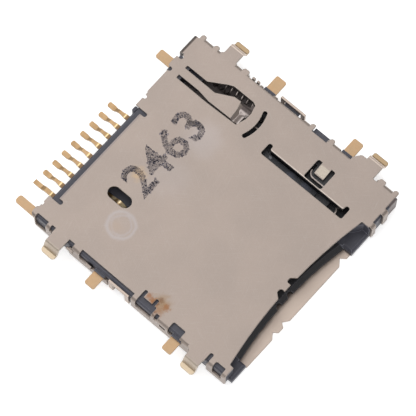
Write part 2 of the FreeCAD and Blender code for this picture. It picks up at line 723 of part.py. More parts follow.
def guide_slot():
    """Long slot from which the guide flange was bent, with a hook at each end."""
    left = FLANGE_X - GUIDE_SLOT_WIDTH
    hook = FLANGE_X + GUIDE_HOOK_REACH
    low = FLANGE_Y[0] - RUNNING_GAP
    high = FLANGE_Y[1] + RUNNING_GAP
    points = [
        (left, high + GUIDE_HOOK_WIDTH),
        (hook, high + GUIDE_HOOK_WIDTH),
        (hook, high),
        (FLANGE_X, high),
        (FLANGE_X, low),
        (hook, low),
        (hook, low - GUIDE_HOOK_WIDTH),
        (left, low - GUIDE_HOOK_WIDTH),
    ]
    return plan(points, TOP_CUT, 0.13)


def guide_flange():
    """Strip bent down from the slot's edge, which keeps the slider straight."""
    mid_x = FLANGE_X + SHEET / 2
    path = [(mid_x + 0.40, SHELL_MID_Z), (mid_x, SHELL_MID_Z), (mid_x, FLANGE_FOOT_Z)]
    return strip_along_x(path, SHEET, BEND, FLANGE_Y)


def tongue_window():
    """Hooked window round the tongue, opened into the bend of the guide flange."""
    left = FLANGE_X + TONGUE_WINDOW_FROM_FLANGE
    free = FLANGE_X + TONGUE_FREE_FROM_FLANGE
    root = FLANGE_X + TONGUE_ROOT_FROM_FLANGE
    low = TONGUE_Y[0] - TONGUE_MARGIN
    high = TONGUE_Y[1] + TONGUE_MARGIN
    window = plan([(left, low), (root, low), (root, high), (left, high)], TOP_CUT, 0.14)
    metal = plan([(free, TONGUE_Y[0]), (root + 1, TONGUE_Y[0]), (root + 1, TONGUE_Y[1]), (free, TONGUE_Y[1])],
                 TOP_CUT, 0.14)
    return window.cut(metal)


def tongue():
    """Tongue bent down a little towards the slider's block."""
    free = FLANGE_X + TONGUE_FREE_FROM_FLANGE
    root = FLANGE_X + TONGUE_ROOT_FROM_FLANGE
    tip_z = SLIDER_BLOCK_Z + RUNNING_GAP + FIT + SHEET / 2
    path = [(root + 0.20, SHELL_MID_Z), (root - 0.18, SHELL_MID_Z), (free, tip_z)]
    return strip_along_x(path, SHEET, 0.20, TONGUE_Y)


def tongue_gap():
    """Flat sheet taken away where the tongue is bent out of it."""
    free = FLANGE_X + TONGUE_FREE_FROM_FLANGE
    root = FLANGE_X + TONGUE_ROOT_FROM_FLANGE
    return box((free - 0.01, root - 0.18), (TONGUE_Y[0] - FIT, TONGUE_Y[1] + FIT), TOP_CUT)


def shell_tab(side, y, reach, low_fillet, high_fillet, foot_corner):
    """Soldered tab that runs out flat from the top, slopes down and ends in a rounded foot."""
    low, high = y
    wall = shell_wall(side)
    inner = wall - side * 0.5
    tip = wall + side * reach
    foot = tip - side * SHELL_TAB_FOOT
    knee = foot - side * SHELL_TAB_SLOPE
    foot_z = SOLDER_Z + SHEET / 2
    path = [(inner, SHELL_MID_Z), (knee, SHELL_MID_Z), (foot, foot_z), (tip, foot_z)]
    bent = strip_along_x(path, SHEET, TIGHT_BEND, (low, high))
    rounded = [(inner, low), (tip, low, foot_corner), (tip, high, foot_corner), (inner, high)]
    bent = bent.common(plan(rounded, (0, TOTAL_HEIGHT + 1)))
    flare = [
        (inner, low - low_fillet),
        (wall, low - low_fillet),
        (wall + side * low_fillet, low),
        (wall + side * high_fillet, high),
        (wall, high + high_fillet),
        (inner, high + high_fillet),
    ]
    root = plan(flare, (SHELL_UNDER, TOTAL_HEIGHT))
    low_round = upright(wall + side * low_fillet, low - low_fillet, low_fillet, TOP_CUT)
    high_round = upright(wall + side * high_fillet, high + high_fillet, high_fillet, TOP_CUT)
    return fuse([bent, root.cut([low_round, high_round])])


def right_shoulder():
    """Flat stretch of the top behind the right front tab that reaches out past the wall."""
    low = from_front(RIGHT_FRONT_SHELL_TAB[0])[1]
    high = low + RIGHT_SHOULDER_LENGTH
    tip = SHELL_RIGHT + RIGHT_SHOULDER_REACH
    points = [
        (SHELL_RIGHT - 0.5, low - 0.1),
        (tip, low - 0.1),
        (tip, high - 0.40, 0.25),
        (SHELL_RIGHT, high),
        (SHELL_RIGHT - 0.5, high),
    ]
    return plan(points, (SHELL_UNDER, TOTAL_HEIGHT))


def wall_relief(side, y, z=(0, SHELL_UNDER)):
    """Side wall and its bend cut away over a stretch, the flat top kept."""
    wall = shell_wall(side)
    x = sorted((wall - side * (SHEET + BEND), wall + side * 1.0))
    return box(x, y, z)


def tab_reliefs():
    """Side walls cut away under the shell tabs, the shoulder and the lugs."""
    cutters = []
    for side, y, reach, low_fillet, high_fillet, foot_corner in shell_tabs():
        cutters.append(wall_relief(side, (y[0] - SHELL_TAB_RELIEF, y[1] + SHELL_TAB_RELIEF)))
    shoulder = from_front(RIGHT_FRONT_SHELL_TAB[0])[1]
    cutters.append(wall_relief(1, (shoulder, shoulder + RIGHT_SHOULDER_LENGTH)))
    for low, high in lug_spans():
        cutters.append(wall_relief(1, (low - FIT, high + FIT)))
    return cutters


def lug_spans():
    """Stretch in Y of each lug on the right edge."""
    return [from_rear(span) for span in RIGHT_REAR_LUGS] + [from_front(span) for span in RIGHT_FRONT_LUGS]


def edge_window(side, depth, y, sill):
    """Window cut inwards from one edge of the top, down to its sill in the side wall."""
    wall = shell_wall(side)
    inner = wall - side * depth
    outer = wall + side * 0.16
    low, high = y
    corner = 0.0
    if depth > 0.45:
        corner = min(WINDOW_CORNER, (high - low) * 0.4)
    points = [(inner, low, corner), (outer, low), (outer, high), (inner, high, corner)]
    return plan(points, (sill, TOTAL_HEIGHT + 1))


def side_windows():
    """All the windows along both edges of the top."""
    cutters = []
    for side, windows, place in (
        (-1, LEFT_REAR_WINDOWS, from_rear),
        (-1, LEFT_FRONT_WINDOWS, from_front),
        (1, RIGHT_REAR_WINDOWS, from_rear),
        (1, RIGHT_FRONT_WINDOWS, from_front),
    ):
        cutters.extend(edge_window(side, depth, place(span), sill) for depth, span, sill in windows)
    open_side = from_rear(OPEN_SIDE)
    cutters.append(edge_window(-1, OPEN_SIDE_DEPTH, open_side, OPEN_SIDE_SILL))
    for span in HOOK_SLOTS:
        cutters.append(edge_window(-1, HOOK_SLOT_DEPTH, from_front(span), SHELL_UNDER - 0.1))
    depth, span = LEFT_FRONT_TAB_WINDOW
    cutters.append(edge_window(-1, depth, from_front(span), SOLDER_Z - 0.08))
    hole = from_front(WALL_HOLE)
    cutters.append(box((SHELL_LEFT - 0.1, SHELL_LEFT + SHEET + FIT), hole, WALL_HOLE_Z))
    side, ear_y, top = ears()[0]
    ear_room = (ear_y[0] - 0.22, ear_y[1] + 0.12)
    cutters.append(box((SHELL_LEFT - 0.1, SHELL_LEFT + SHEET + FIT), ear_room, (0, SHELL_UNDER)))
    side, ear_y, top = ears()[1]
    ear_room = (ear_y[0] - 0.12, ear_y[1] + 0.12)
    cutters.append(edge_window(1, RIGHT_EAR_WINDOW_DEPTH, ear_room, 0.0))
    boss = from_front(BOSS)
    cutters.append(edge_window(1, BOSS_WINDOW_DEPTH, (boss[0] - 0.04, boss[1] + 0.04), BOSS_Z[0] - FIT))
    for side, (low, high) in side_tabs().values():
        cutters.append(wall_relief(side, (low - 0.06, high + 0.06), (SOLDER_Z - 0.08, SHELL_UNDER)))
        if side > 0:
            cutters.append(edge_window(side, RIGHT_TAB_WINDOW_DEPTH, (low - 0.06, high + 0.06), SOLDER_Z - 0.08))
    return cutters


def rear_corner_reliefs():
    """Side walls ended at the back of the plastic, so that the rear tabs pass."""
    y = (REAR_WALL_Y - FIT, FAR)
    z = (0, SHELL_UNDER - 0.05)
    depth = SHEET + BEND
    left = box((SHELL_LEFT - 1, SHELL_LEFT + depth), y, z)
    right = box((SHELL_RIGHT - depth, SHELL_RIGHT + 1), y, z)
    return [left, right]


def back_fold(x, outer_y):
    """Short wall folded down behind the rear of the plastic."""
    mid_y = outer_y - SHEET / 2
    foot_z = SOLDER_Z - 0.35
    path = [(mid_y - 0.40, SHELL_MID_Z), (mid_y, SHELL_MID_Z), (mid_y, foot_z)]
    return strip_along_y(path, SHEET, BEND, x)


def front_hook(x):
    """Narrow hook folded down over the front of the plastic."""
    mid_y = HOUSING_FRONT - FIT - SHEET / 2
    path = [(mid_y + 0.60, SHELL_MID_Z), (mid_y, SHELL_MID_Z), (mid_y, FRONT_HOOK_FOOT)]
    return strip_along_y(path, SHEET, 0.10, x)


def lance(side, y, tip_z):
    """Piece of a side wall that leans outwards beside the plastic."""
    wall = shell_wall(side)
    mid_x = wall - side * SHEET / 2
    root_z = OPEN_SIDE_SILL
    path = [(mid_x, root_z - 0.25), (mid_x, root_z), (mid_x + side * LANCE_LEAN, root_z + 0.25)]
    path.append((mid_x + side * LANCE_LEAN, tip_z))
    return strip_along_x(path, SHEET, TIGHT_BEND, y)


def lances():
    """Lances of both side walls."""
    made = [lance(-1, from_rear(span), tip_z) for span, tip_z in LEFT_LANCES]
    made.extend(lance(1, from_rear(span), tip_z) for span, tip_z in RIGHT_LANCES)
    return made


def edge_lug(low, high):
    """Flat lug with rounded corners on the right edge of the top."""
    inner = SHELL_RIGHT - SHEET - BEND
    tip = SHELL_RIGHT + LUG_REACH
    points = [
        (inner, low),
        (tip, low, LUG_CORNER),
        (tip, high - LUG_CORNER, LUG_CORNER),
        (SHELL_RIGHT, high),
        (inner, high),
    ]
    return plan(points, (SHELL_UNDER, TOTAL_HEIGHT))


def top_shell():
    """Stamped and folded cover with leaf spring, guide flange, tongue, hooks and solder tabs."""
    tabs = [shell_tab(*tab) for tab in shell_tabs()]
    lugs = [edge_lug(*span) for span in lug_spans()]
    outside = shell_body().cut(tab_reliefs())
    outside = fuse([outside, right_shoulder()] + tabs + lugs)
    cutters = [leaf_window(), arc_slot(), guide_slot(), tongue_window(), tongue_gap()]
    oval_centre = (CARD_LEFT + OVAL_CENTRE_FROM_CARD, CONTACT_APEX_Y)
    cutters.append(obround(oval_centre, OVAL_LENGTH, OVAL_WIDTH, TOP_CUT))
    cutters.extend(mouth_cutter() + side_windows() + rear_corner_reliefs())
    rear_fold_x = (REAR_TAB_X[1] + 0.50, SHELL_RIGHT - SHEET - BEND)
    pieces = [outside.cut(cutters), leaf_tip(), guide_flange().cut(tongue_window()), tongue()]
    pieces.append(back_fold((COMB_RIGHT + 1.20, REAR_TAB_X[0] - 0.40), SHELL_BACK + REAR_EDGE_STEP))
    pieces.append(back_fold((GROUND_TAB_X[1] + 0.52, COMB_LEFT - 0.06), SHELL_BACK))
    pieces.append(back_fold(rear_fold_x, SHELL_BACK + REAR_FOLD_STEP))
    pieces.append(front_hook((MOUTH_RIGHT + 0.05, MOUTH_RIGHT + 0.43)))
    pieces.append(front_hook((MOUTH_RIGHT + 1.18, MOUTH_RIGHT + 1.64)))
    return fuse(pieces + lances())


def ear_mid_x(side):
    """Middle of an ear's sheet: the left one stands in the shell's gap, the right one outside."""
    if side < 0:
        return SHELL_LEFT + SHEET / 2
    return SHELL_RIGHT + SHEET / 2 + RIGHT_EAR_GAP


def ear(side, y, top):
    """Ear folded up from the bottom plate: two legs and a bar that snaps over a catch."""
    mid_x = ear_mid_x(side)
    path = [(mid_x - side * 0.8, SHEET / 2), (mid_x, SHEET / 2), (mid_x, top)]
    folded = strip_along_x(path, SHEET, BEND, y)
    x = sorted((plastic_wall(side) - side * EAR_POCKET, mid_x + side * SHEET))
    legs_y = (y[0] + EAR_LEG_WIDTH, y[1] - EAR_LEG_WIDTH)
    return folded.cut(box(x, legs_y, (-0.1, top - EAR_BAR)))


def plate_notch(apex_x, left_run, right_run):
    """Notch in the plate's front edge, drawn by its apex and how far each side runs out."""
    front = PLATE_FRONT - 0.30
    high = PLATE_FRONT + PLATE_NOTCH_HEIGHT - 0.04
    stretch = (high - front) / PLATE_NOTCH_HEIGHT
    points = [
        (apex_x + left_run * stretch, front),
        (apex_x + right_run * stretch, front),
        (apex_x, high, 0.05),
    ]
    return plan(points, (-0.1, SHEET + 0.1))


def bottom_plate():
    """Flat plate under the plastic, with a scalloped front edge and two snap ears."""
    margin = 0.08
    left = HOUSING_LEFT + margin
    right = HOUSING_RIGHT - margin
    step_y = FLOOR_FRONT - 0.28
    back_y = REAR_WALL_Y - 0.20
    outline = [
        (PLATE_LEFT_FRONT, PLATE_FRONT),
        (PLATE_RIGHT_FRONT, PLATE_FRONT - margin),
        (PLATE_RIGHT_FRONT, step_y),
        (right, step_y),
        (right, back_y),
        (left, back_y),
        (left, step_y),
        (PLATE_LEFT_FRONT, step_y),
    ]
    plate = plan(outline, (0, SHEET))
    cutters = []
    tongue_x = PLATE_LEFT_FRONT + PLATE_TONGUE_OFFSET
    inset = PLATE_TONGUE_HALF + PLATE_NOTCH_STEEP
    cutters.append(plate_notch(tongue_x - inset, -PLATE_NOTCH_SLOPE, PLATE_NOTCH_STEEP))
    cutters.append(plate_notch(tongue_x + inset, -PLATE_NOTCH_STEEP, PLATE_NOTCH_SLOPE))
    cutters.append(plate_notch(PLATE_RIGHT_FRONT - PLATE_NOTCH_INSET, -PLATE_NOTCH_SLOPE, PLATE_NOTCH_STEEP))
    for side, y, top in ears():
        edge = plastic_wall(side)
        x = sorted((edge - side * EAR_POCKET, edge + side))
        cutters.append(box(x, (y[0] + EAR_LEG_WIDTH, y[1] - EAR_LEG_WIDTH), (-0.1, SHEET + 0.1)))
    return fuse([plate.cut(cutters)] + [ear(*size) for size in ears()])


def ear_pocket(side, y, top):
    """Side of the plastic set back between an ear's legs, under the catch."""
    wall = plastic_wall(side)
    x = sorted((wall - side * (EAR_POCKET - FIT), wall + side))
    high = top - EAR_BAR - RUNNING_GAP - CATCH_HEIGHT
    return box(x, (y[0] + EAR_LEG_WIDTH, y[1] - EAR_LEG_WIDTH), (0, high))


def catch(side, y, top):
    """Wedge on the plastic that an ear's bar snaps over."""
    wall = plastic_wall(side)
    inside = wall - side * 0.15
    reach = ear_mid_x(side)
    high = top - EAR_BAR - RUNNING_GAP
    low = high - CATCH_HEIGHT
    points = [(inside, low), (wall, low), (reach, high - 0.08), (reach, high), (inside, high)]
    return front_view(points, (y[0] + EAR_LEG_WIDTH + 0.08, y[1] - EAR_LEG_WIDTH - 0.08))


def left_rail():
    """Left side of the plastic, with a flared lead-in at the mouth."""
    front = LEFT_CORNER_Y + 0.06
    back = CARD_STOP_Y + 0.2
    points = [
        (HOUSING_LEFT, front),
        (MOUTH_LEFT - 0.15, front),
        (CHANNEL_LEFT - 0.28, FLOOR_FRONT - 0.25, 0.3),
        (CHANNEL_LEFT, FLOOR_FRONT + 0.50, 0.3),
        (CHANNEL_LEFT, back),
        (HOUSING_LEFT, back),
    ]
    return plan(points, (SHEET, HOUSING_TOP))


def floor_outline(setback, z):
    """Wire round the floor at one height; its front edge is curved like the shell's mouth."""
    x = (CHANNEL_LEFT - 0.1, CHANNEL_RIGHT)
    back = CARD_STOP_Y + 0.1
    step = setback - FLOOR_FRONT_SETBACK
    left = V(x[0], MOUTH_LEFT_Y + step, z)
    right = V(x[1], MOUTH_RIGHT_Y + step, z)
    middle = V((x[0] + x[1]) / 2, MOUTH_MIDDLE_Y + step, z)
    edges = [
        Part.Arc(left, middle, right).toShape(),
        Part.LineSegment(right, V(x[1], back, z)).toShape(),
        Part.LineSegment(V(x[1], back, z), V(x[0], back, z)).toShape(),
        Part.LineSegment(V(x[0], back, z), left).toShape(),
    ]
    return Part.Wire(edges)


def floor():
    """Floor under the card with a curved and sloping front edge."""
    ramp_z = FLOOR_TOP - FLOOR_RAMP_HEIGHT
    slab = Part.Face(floor_outline(0.0, SHEET)).extrude(V(0, 0, ramp_z - SHEET))
    outlines = [floor_outline(0.0, ramp_z), floor_outline(FLOOR_RAMP_LENGTH, FLOOR_TOP)]
    ramp = Part.makeLoft(outlines, True, True)
    notch_y = MOUTH_MIDDLE_Y - FLOOR_FRONT_SETBACK
    notches = []
    for offset in FLOOR_NOTCH_OFFSETS:
        notches.append(upright(MOUTH_MIDDLE_X + offset, notch_y, FLOOR_NOTCH_RADIUS, (SHEET, FLOOR_TOP)))
    return fuse([slab, ramp]).cut(notches)


def rear_wall():
    """Rear wall that holds the contacts, with the boss for the rear solder tab."""
    body = box((HOUSING_LEFT, HOUSING_RIGHT), (CARD_STOP_Y, REAR_WALL_Y), (SHEET, HOUSING_TOP))
    boss_x = (REAR_TAB_X[0] - REAR_BOSS_DEPTH, REAR_TAB_X[1] + REAR_BOSS_DEPTH)
    boss = box(boss_x, (REAR_WALL_Y - 0.1, REAR_WALL_Y + REAR_BOSS_DEPTH), (SOLDER_Z - 0.3, HOUSING_TOP))
    notch = 0.10
    corner = box((HOUSING_RIGHT - notch, FAR), (REAR_WALL_Y - notch, FAR), (0, FAR))
    post_right = COMB_RIGHT - FIT
    post_back = REAR_WALL_Y + COMB_POST_REACH
    post = plan([
        (post_right - COMB_POST_WIDTH, REAR_WALL_Y - 0.2),
        (post_right, REAR_WALL_Y - 0.2),
        (post_right, post_back, 0.10),
        (post_right - COMB_POST_WIDTH, post_back, 0.10),
    ], (SOLDER_Z - 0.3, HOUSING_TOP))
    return fuse([body.cut(corner), boss, post])


def right_side():
    """Bay floor and outer wall beside the slider."""
    front = BAY_FRONT - 0.2
    bay = box((CHANNEL_RIGHT - 0.1, HOUSING_RIGHT), (front, BAY_BACK), (SHEET, BAY_FLOOR_TOP))
    wall = box((BAY_RIGHT, HOUSING_RIGHT), (front, CARD_STOP_Y + 0.2), (SHEET, HOUSING_TOP))
    return fuse([bay, wall])


def eased_block(points, z, ease):
    """Block of the given plan whose upper edges are chamfered."""
    wires = []
    middle_x = sum(point[0] for point in points) / len(points)
    middle_y = sum(point[1] for point in points) / len(points)
    for inset, height in ((0.0, z[1] - ease), (ease, z[1])):
        corners = []
        for x, y in points:
            moved = V(x + math.copysign(inset, middle_x - x), y + math.copysign(inset, middle_y - y), height)
            corners.append((moved, 0))
        wires.append(rounded_wire(corners))
    low = plan(points, (z[0], z[1] - ease))
    return fuse([low, Part.makeLoft(wires, True, True)])


def block_plan(x, y):
    """Corners of a block's plan."""
    return [(x[0], y[0]), (x[1], y[0]), (x[1], y[1]), (x[0], y[1])]


def front_blocks():
    """Low blocks either side of the mouth and the tall block that closes the bay's front."""
    back = FLOOR_FRONT - 0.30
    ease = 0.16
    left_x = (HOUSING_LEFT + 0.27, PLATE_LEFT_FRONT - FIT)
    right_x = (PLATE_RIGHT_FRONT + FIT, HOUSING_RIGHT)
    left = eased_block(block_plan(left_x, (HOUSING_FRONT + 0.23, back)), (0, FLOOR_TOP), ease)
    right = eased_block(block_plan(right_x, (HOUSING_FRONT, back)), (0, FLOOR_TOP), ease)
    left_bridge = box((HOUSING_LEFT + 0.27, left_x[1]), (back - 0.16, BAY_FRONT + 0.2), (SHEET, FLOOR_TOP))
    right_bridge = box((right_x[0], HOUSING_RIGHT), (back - 0.16, BAY_FRONT), (SHEET, FLOOR_TOP))
    inner = MOUTH_RIGHT - FIT
    flare_start = V(CHANNEL_RIGHT, BAY_FRONT, SHEET)
    flare_middle = V(CHANNEL_RIGHT + 0.28, FLOOR_FRONT - 0.25, SHEET)
    flare_end = V(inner, MOUTH_RIGHT_Y - FLOOR_FRONT_SETBACK, SHEET)
    corner_front = V(inner, HOUSING_FRONT, SHEET)
    corner_right = V(HOUSING_RIGHT, HOUSING_FRONT, SHEET)
    corner_back = V(HOUSING_RIGHT, BAY_FRONT, SHEET)
    edges = [
        Part.Arc(flare_start, flare_middle, flare_end).toShape(),
        Part.LineSegment(flare_end, corner_front).toShape(),
        Part.LineSegment(corner_front, corner_right).toShape(),
        Part.LineSegment(corner_right, corner_back).toShape(),
        Part.LineSegment(corner_back, flare_start).toShape(),
    ]
    tall = Part.Face(Part.Wire(edges)).extrude(V(0, 0, HOUSING_TOP - SHEET))
    return fuse([left, left_bridge, right, right_bridge, tall])


def pivot_block():
    """Block that carries the cam pin's pivot leg, and the peg inside the coil spring."""
    top = PIN_SHANK_Z - PIN_RADIUS - RUNNING_GAP
    hole_z = (top - PIN_LEG_DEPTH - 0.30, top + 0.1)
    block = box((PIN_X - 0.35, PIN_X + 0.40), (PIN_PIVOT_Y - 0.50, BAY_BACK + 0.1), (SHEET, top))
    hole = upright(PIN_X, PIN_PIVOT_Y, PIN_RADIUS + CAM_CLEARANCE, hole_z)
    peg = lengthwise(SPRING_X, SPRING_Z, SPRING_PEG_RADIUS, (BAY_BACK - SPRING_PEG_LENGTH, BAY_BACK + 0.1))
    behind = box((CHANNEL_RIGHT, HOUSING_RIGHT), (BAY_BACK, REAR_WALL_Y - 0.1), (SHEET, HOUSING_TOP))
    return fuse([block.cut(hole), peg, behind])


def rear_wall_gap():
    """Rear wall set back to the bay's end, for the slider, the spring and the pivot block."""
    return box((CHANNEL_RIGHT, BAY_RIGHT), (CARD_STOP_Y - 0.1, BAY_BACK), (BAY_FLOOR_TOP, FAR))


def side_boss():
    """Boss that shows in a window of the right wall, with its outer edge eased."""
    reach = SHELL_RIGHT + BOSS_REACH
    points = [
        (HOUSING_RIGHT - 0.2, BOSS_Z[0]),
        (reach, BOSS_Z[0]),
        (reach, BOSS_Z[1], 0.12),
        (HOUSING_RIGHT - 0.2, BOSS_Z[1]),
    ]
    return front_view(points, from_front(BOSS))


def tab_lips():
    """Small lips of plastic over the roots of the flat solder tabs in the sides."""
    lips = []
    z = (TAB_SLOT_Z[1], TAB_SLOT_Z[1] + TAB_LIP_HEIGHT)
    for side, (low, high) in side_tabs().values():
        wall = plastic_wall(side)
        reach = TAB_LIP_LEFT if side < 0 else TAB_LIP_RIGHT
        x = sorted((wall - side * 0.1, wall + side * reach))
        lips.append(box(x, (low - FIT, high + FIT), z))
    return lips


def fan_outline(index, gap):
    """Plan of the stretch where a contact steps over from its beam to its tail."""
    half = CONTACT_WIDTH / 2 + gap
    tail_half = TAIL_ROOT_WIDTH / 2 + gap
    beam = contact_x(index)
    tail = tail_x(index + 1)
    start = FAN_END_Y - FAN_ROOT
    end = CONTACT_RISER_Y
    return [
        (beam - half, start),
        (beam + half, start),
        (beam + half, FAN_END_Y),
        (tail + tail_half, FAN_START_Y),
        (tail + tail_half, end),
        (tail - tail_half, end),
        (tail - tail_half, FAN_START_Y),
        (beam - half, FAN_END_Y),
    ]


def contact_cavities():
    """Slots in the floor and the rear wall for the eight contacts."""
    slots = []
    half = CONTACT_WIDTH / 2 + CONTACT_SLOT_CLEARANCE
    tail_half = TAIL_ROOT_WIDTH / 2 + FIT
    gap = CONTACT_SHEET / 2 + FIT
    under = BEAM_MID_Z - gap
    lid = BEAM_MID_Z + gap
    roof = EXIT_MID_Z + gap
    toe = CONTACT_APEX_Y - CONTACT_TOE_LENGTH - 0.12
    above_floor = FLOOR_TOP + 0.1
    riser = (CONTACT_RISER_Y - gap, CONTACT_RISER_Y + gap)
    behind_stop = box((-FAR, FAR), (CARD_STOP_Y, FAR), (0, FAR))
    for index in range(CONTACT_COUNT):
        beam = contact_x(index)
        tail = tail_x(index + 1)
        tail_span = (tail - tail_half, tail + tail_half)
        slots.append(box((beam - half, beam + half), (toe, FAN_END_Y - 0.1), (under, above_floor)))
        slots.append(plan(fan_outline(index, FIT), (under, lid)))
        slots.append(plan(fan_outline(index, FIT), (under, above_floor)).cut(behind_stop))
        slots.append(box(tail_span, riser, (under, roof)))
        slots.append(box(tail_span, (riser[0], FAR), (EXIT_MID_Z - gap, roof)))
    return slots


def switch_blade_x():
    """Middle of the card switch's moving blade where it stands clear of the card."""
    return CHANNEL_LEFT - SWITCH_BLADE_SETBACK


def detect_cavities():
    """Pocket for the card switch in the left rear corner."""
    half = DETECT_TAIL_WIDTH / 2 + FIT
    gap = CONTACT_SHEET / 2 + FIT
    tail = tail_x(0)
    blade_x = switch_blade_x()
    pocket_back = CARD_STOP_Y + SWITCH_BEND_FROM_STOP + 0.15
    ground_front = CARD_STOP_Y - GROUND_BLADE_FROM_STOP - RUNNING_GAP
    ground_back = ground_front + GROUND_BLADE_LENGTH + 2 * RUNNING_GAP
    z = (FLOOR_TOP, HOUSING_TOP - 0.10)
    return [
        box((blade_x - 0.12, CHANNEL_LEFT + 0.2), (CARD_STOP_Y - SWITCH_POCKET_LENGTH, pocket_back), z),
        box((blade_x - 0.12, tail + half), (CARD_STOP_Y, pocket_back), z),
        box((tail - half, tail + half), (CARD_STOP_Y, FAR), (EXIT_MID_Z - gap, EXIT_MID_Z + gap)),
        box((GROUND_TAB_X[0] + 0.12, GROUND_TAB_X[1]), (ground_front, FAR), TAB_SLOT_Z),
        box((GROUND_TAB_X[1] - SHEET - FIT, blade_x + 0.1), (ground_front, ground_back), z),
    ]


def tab_room(side):
    """Depth of plastic that a side tab may be pressed into."""
    if side < 0:
        return min(TAB_ANCHOR_DEPTH, LEFT_RAIL_WIDTH - 0.3)
    return min(TAB_ANCHOR_DEPTH, OUTER_WALL - 0.08)


def tab_slots():
    """Slots for the flat solder tabs."""
    slots = []
    for side, (low, high) in side_tabs().values():
        inner = plastic_wall(side) - side * (tab_room(side) + FIT)
        slots.append(box(sorted((inner, side * FAR)), (low - FIT, high + FIT), TAB_SLOT_Z))
    rear = (REAR_WALL_Y - TAB_ANCHOR_DEPTH - FIT, FAR)
    slots.append(box((REAR_TAB_X[0] - FIT, REAR_TAB_X[1] + FIT), rear, TAB_SLOT_Z))
    return slots


def eased_envelope():
    """Outer form of the plastic with its top edges eased to clear the bends of the shell."""
    ease = BEND
    rear = REAR_WALL_Y + REAR_BOSS_DEPTH
    across = [
        (HOUSING_LEFT, 0),
        (HOUSING_RIGHT, 0),
        (HOUSING_RIGHT, HOUSING_TOP - ease),
        (HOUSING_RIGHT - ease, HOUSING_TOP),
        (HOUSING_LEFT + ease, HOUSING_TOP),
        (HOUSING_LEFT, HOUSING_TOP - ease),
    ]
    along = [
        (HOUSING_FRONT, 0),
        (rear, 0),
        (rear, HOUSING_TOP),
        (HOUSING_FRONT + ease, HOUSING_TOP),
        (HOUSING_FRONT, HOUSING_TOP - ease),
    ]
    return front_view(across, (-FAR, FAR)).common(side_view(along, (-FAR, FAR)))


def rear_ease():
    """Top rear edge of the plastic eased under the shell's rear bends, either side of the boss."""
    ease = BEND
    points = [
        (REAR_WALL_Y - ease, HOUSING_TOP),
        (REAR_WALL_Y, HOUSING_TOP - ease),
        (REAR_WALL_Y + 0.01, HOUSING_TOP + 0.1),
        (REAR_WALL_Y - ease, HOUSING_TOP + 0.1),
    ]
    boss_left = REAR_TAB_X[0] - REAR_BOSS_DEPTH
    boss_right = REAR_TAB_X[1] + REAR_BOSS_DEPTH
    return [side_view(points, (-FAR, boss_left)), side_view(points, (boss_right, FAR))]


def ear_relief(side, y):
    """Lower edge of the plastic cut back for the bend of an ear."""
    wall = plastic_wall(side)
    x = sorted((wall + side, wall - side * BEND))
    return box(x, (y[0] - FIT, y[1] + FIT), (0, SHEET + BEND))


def housing():
    """Moulded plastic body that carries the contacts and guides the card and the slider."""
    body = fuse([left_rail(), floor(), rear_wall(), right_side(), front_blocks()])
    body = body.cut(rear_wall_gap())
    body = fuse([body, pivot_block()]).common(eased_envelope())
    cutters = rear_ease()
    catches = []
    for side, y, top in ears():
        cutters.extend([ear_relief(side, y), ear_pocket(side, y, top)])
        catches.append(catch(side, y, top))
    body = fuse([body.cut(cutters), side_boss()] + catches + tab_lips())
    return body.cut(contact_cavities() + detect_cavities() + tab_slots())


def tail(x, root_width, foot_width, waist_width):
    """Flat gold tail that leaves the plastic, steps down and ends in a foot."""
    foot_back = TAIL_TIP_Y - TAIL_FOOT_LENGTH
    step_back = foot_back - TAIL_STEP_LENGTH
    path = [
        (TAIL_TIP_Y, FOOT_MID_Z),
        (foot_back, FOOT_MID_Z),
        (step_back, EXIT_MID_Z),
        (CONTACT_RISER_Y, EXIT_MID_Z, SHARP),
        (CONTACT_RISER_Y, BEAM_MID_Z, SHARP),
        (CONTACT_RISER_Y - 0.35, BEAM_MID_Z),
    ]
    bent = strip_along_y(path, CONTACT_SHEET, TIGHT_BEND, (x - root_width, x + root_width))
    return bent.common(tail_plan(x, root_width, foot_width, waist_width))


def tail_plan(x, root_width, foot_width, waist_width):
    """Plan of a tail: straight root, taper to the waist, then the paddle of the foot."""
    root_end = REAR_WALL_Y + TAIL_ROOT_LENGTH
    foot_back = TAIL_TIP_Y - TAIL_FOOT_LENGTH
    taper = [
        (root_width, CONTACT_RISER_Y - 0.60),
        (root_width, root_end),
        (waist_width, root_end + 0.30),
        (waist_width, foot_back - 0.10),
        (foot_width, foot_back + 0.15),
        (foot_width, TAIL_TIP_Y - TAIL_TIP_CHAMFER),
        (foot_width - 2 * TAIL_TIP_CHAMFER, TAIL_TIP_Y),
    ]
    right = [(x + width / 2, y) for width, y in taper]
    left = [(x - width / 2, y) for width, y in taper]
    return plan(right + left[::-1], (0, FAR))


def contact(index):
    """Gold contact: sprung beam, step across the floor, riser in the rear wall and tail."""
    x = contact_x(index)
    fan_z = (BEAM_MID_Z - CONTACT_SHEET / 2, BEAM_MID_Z + CONTACT_SHEET / 2)
    apex_z = FLOOR_TOP + CONTACT_APEX_LIFT - CONTACT_SHEET / 2
    path = [
        (FAN_END_Y, BEAM_MID_Z),
        (CONTACT_APEX_Y + CONTACT_BEAM_LENGTH, BEAM_MID_Z),
        (CONTACT_APEX_Y, apex_z),
        (CONTACT_APEX_Y - CONTACT_TOE_LENGTH, apex_z - CONTACT_TOE_DROP),
    ]
    beam = strip_along_y(path, CONTACT_SHEET, BEND, (x - CONTACT_WIDTH / 2, x + CONTACT_WIDTH / 2))
    end = tail(tail_x(index + 1), TAIL_ROOT_WIDTH, TAIL_FOOT_WIDTH, TAIL_WAIST_WIDTH)
    return fuse([plan(fan_outline(index, 0.0), fan_z), beam, end])


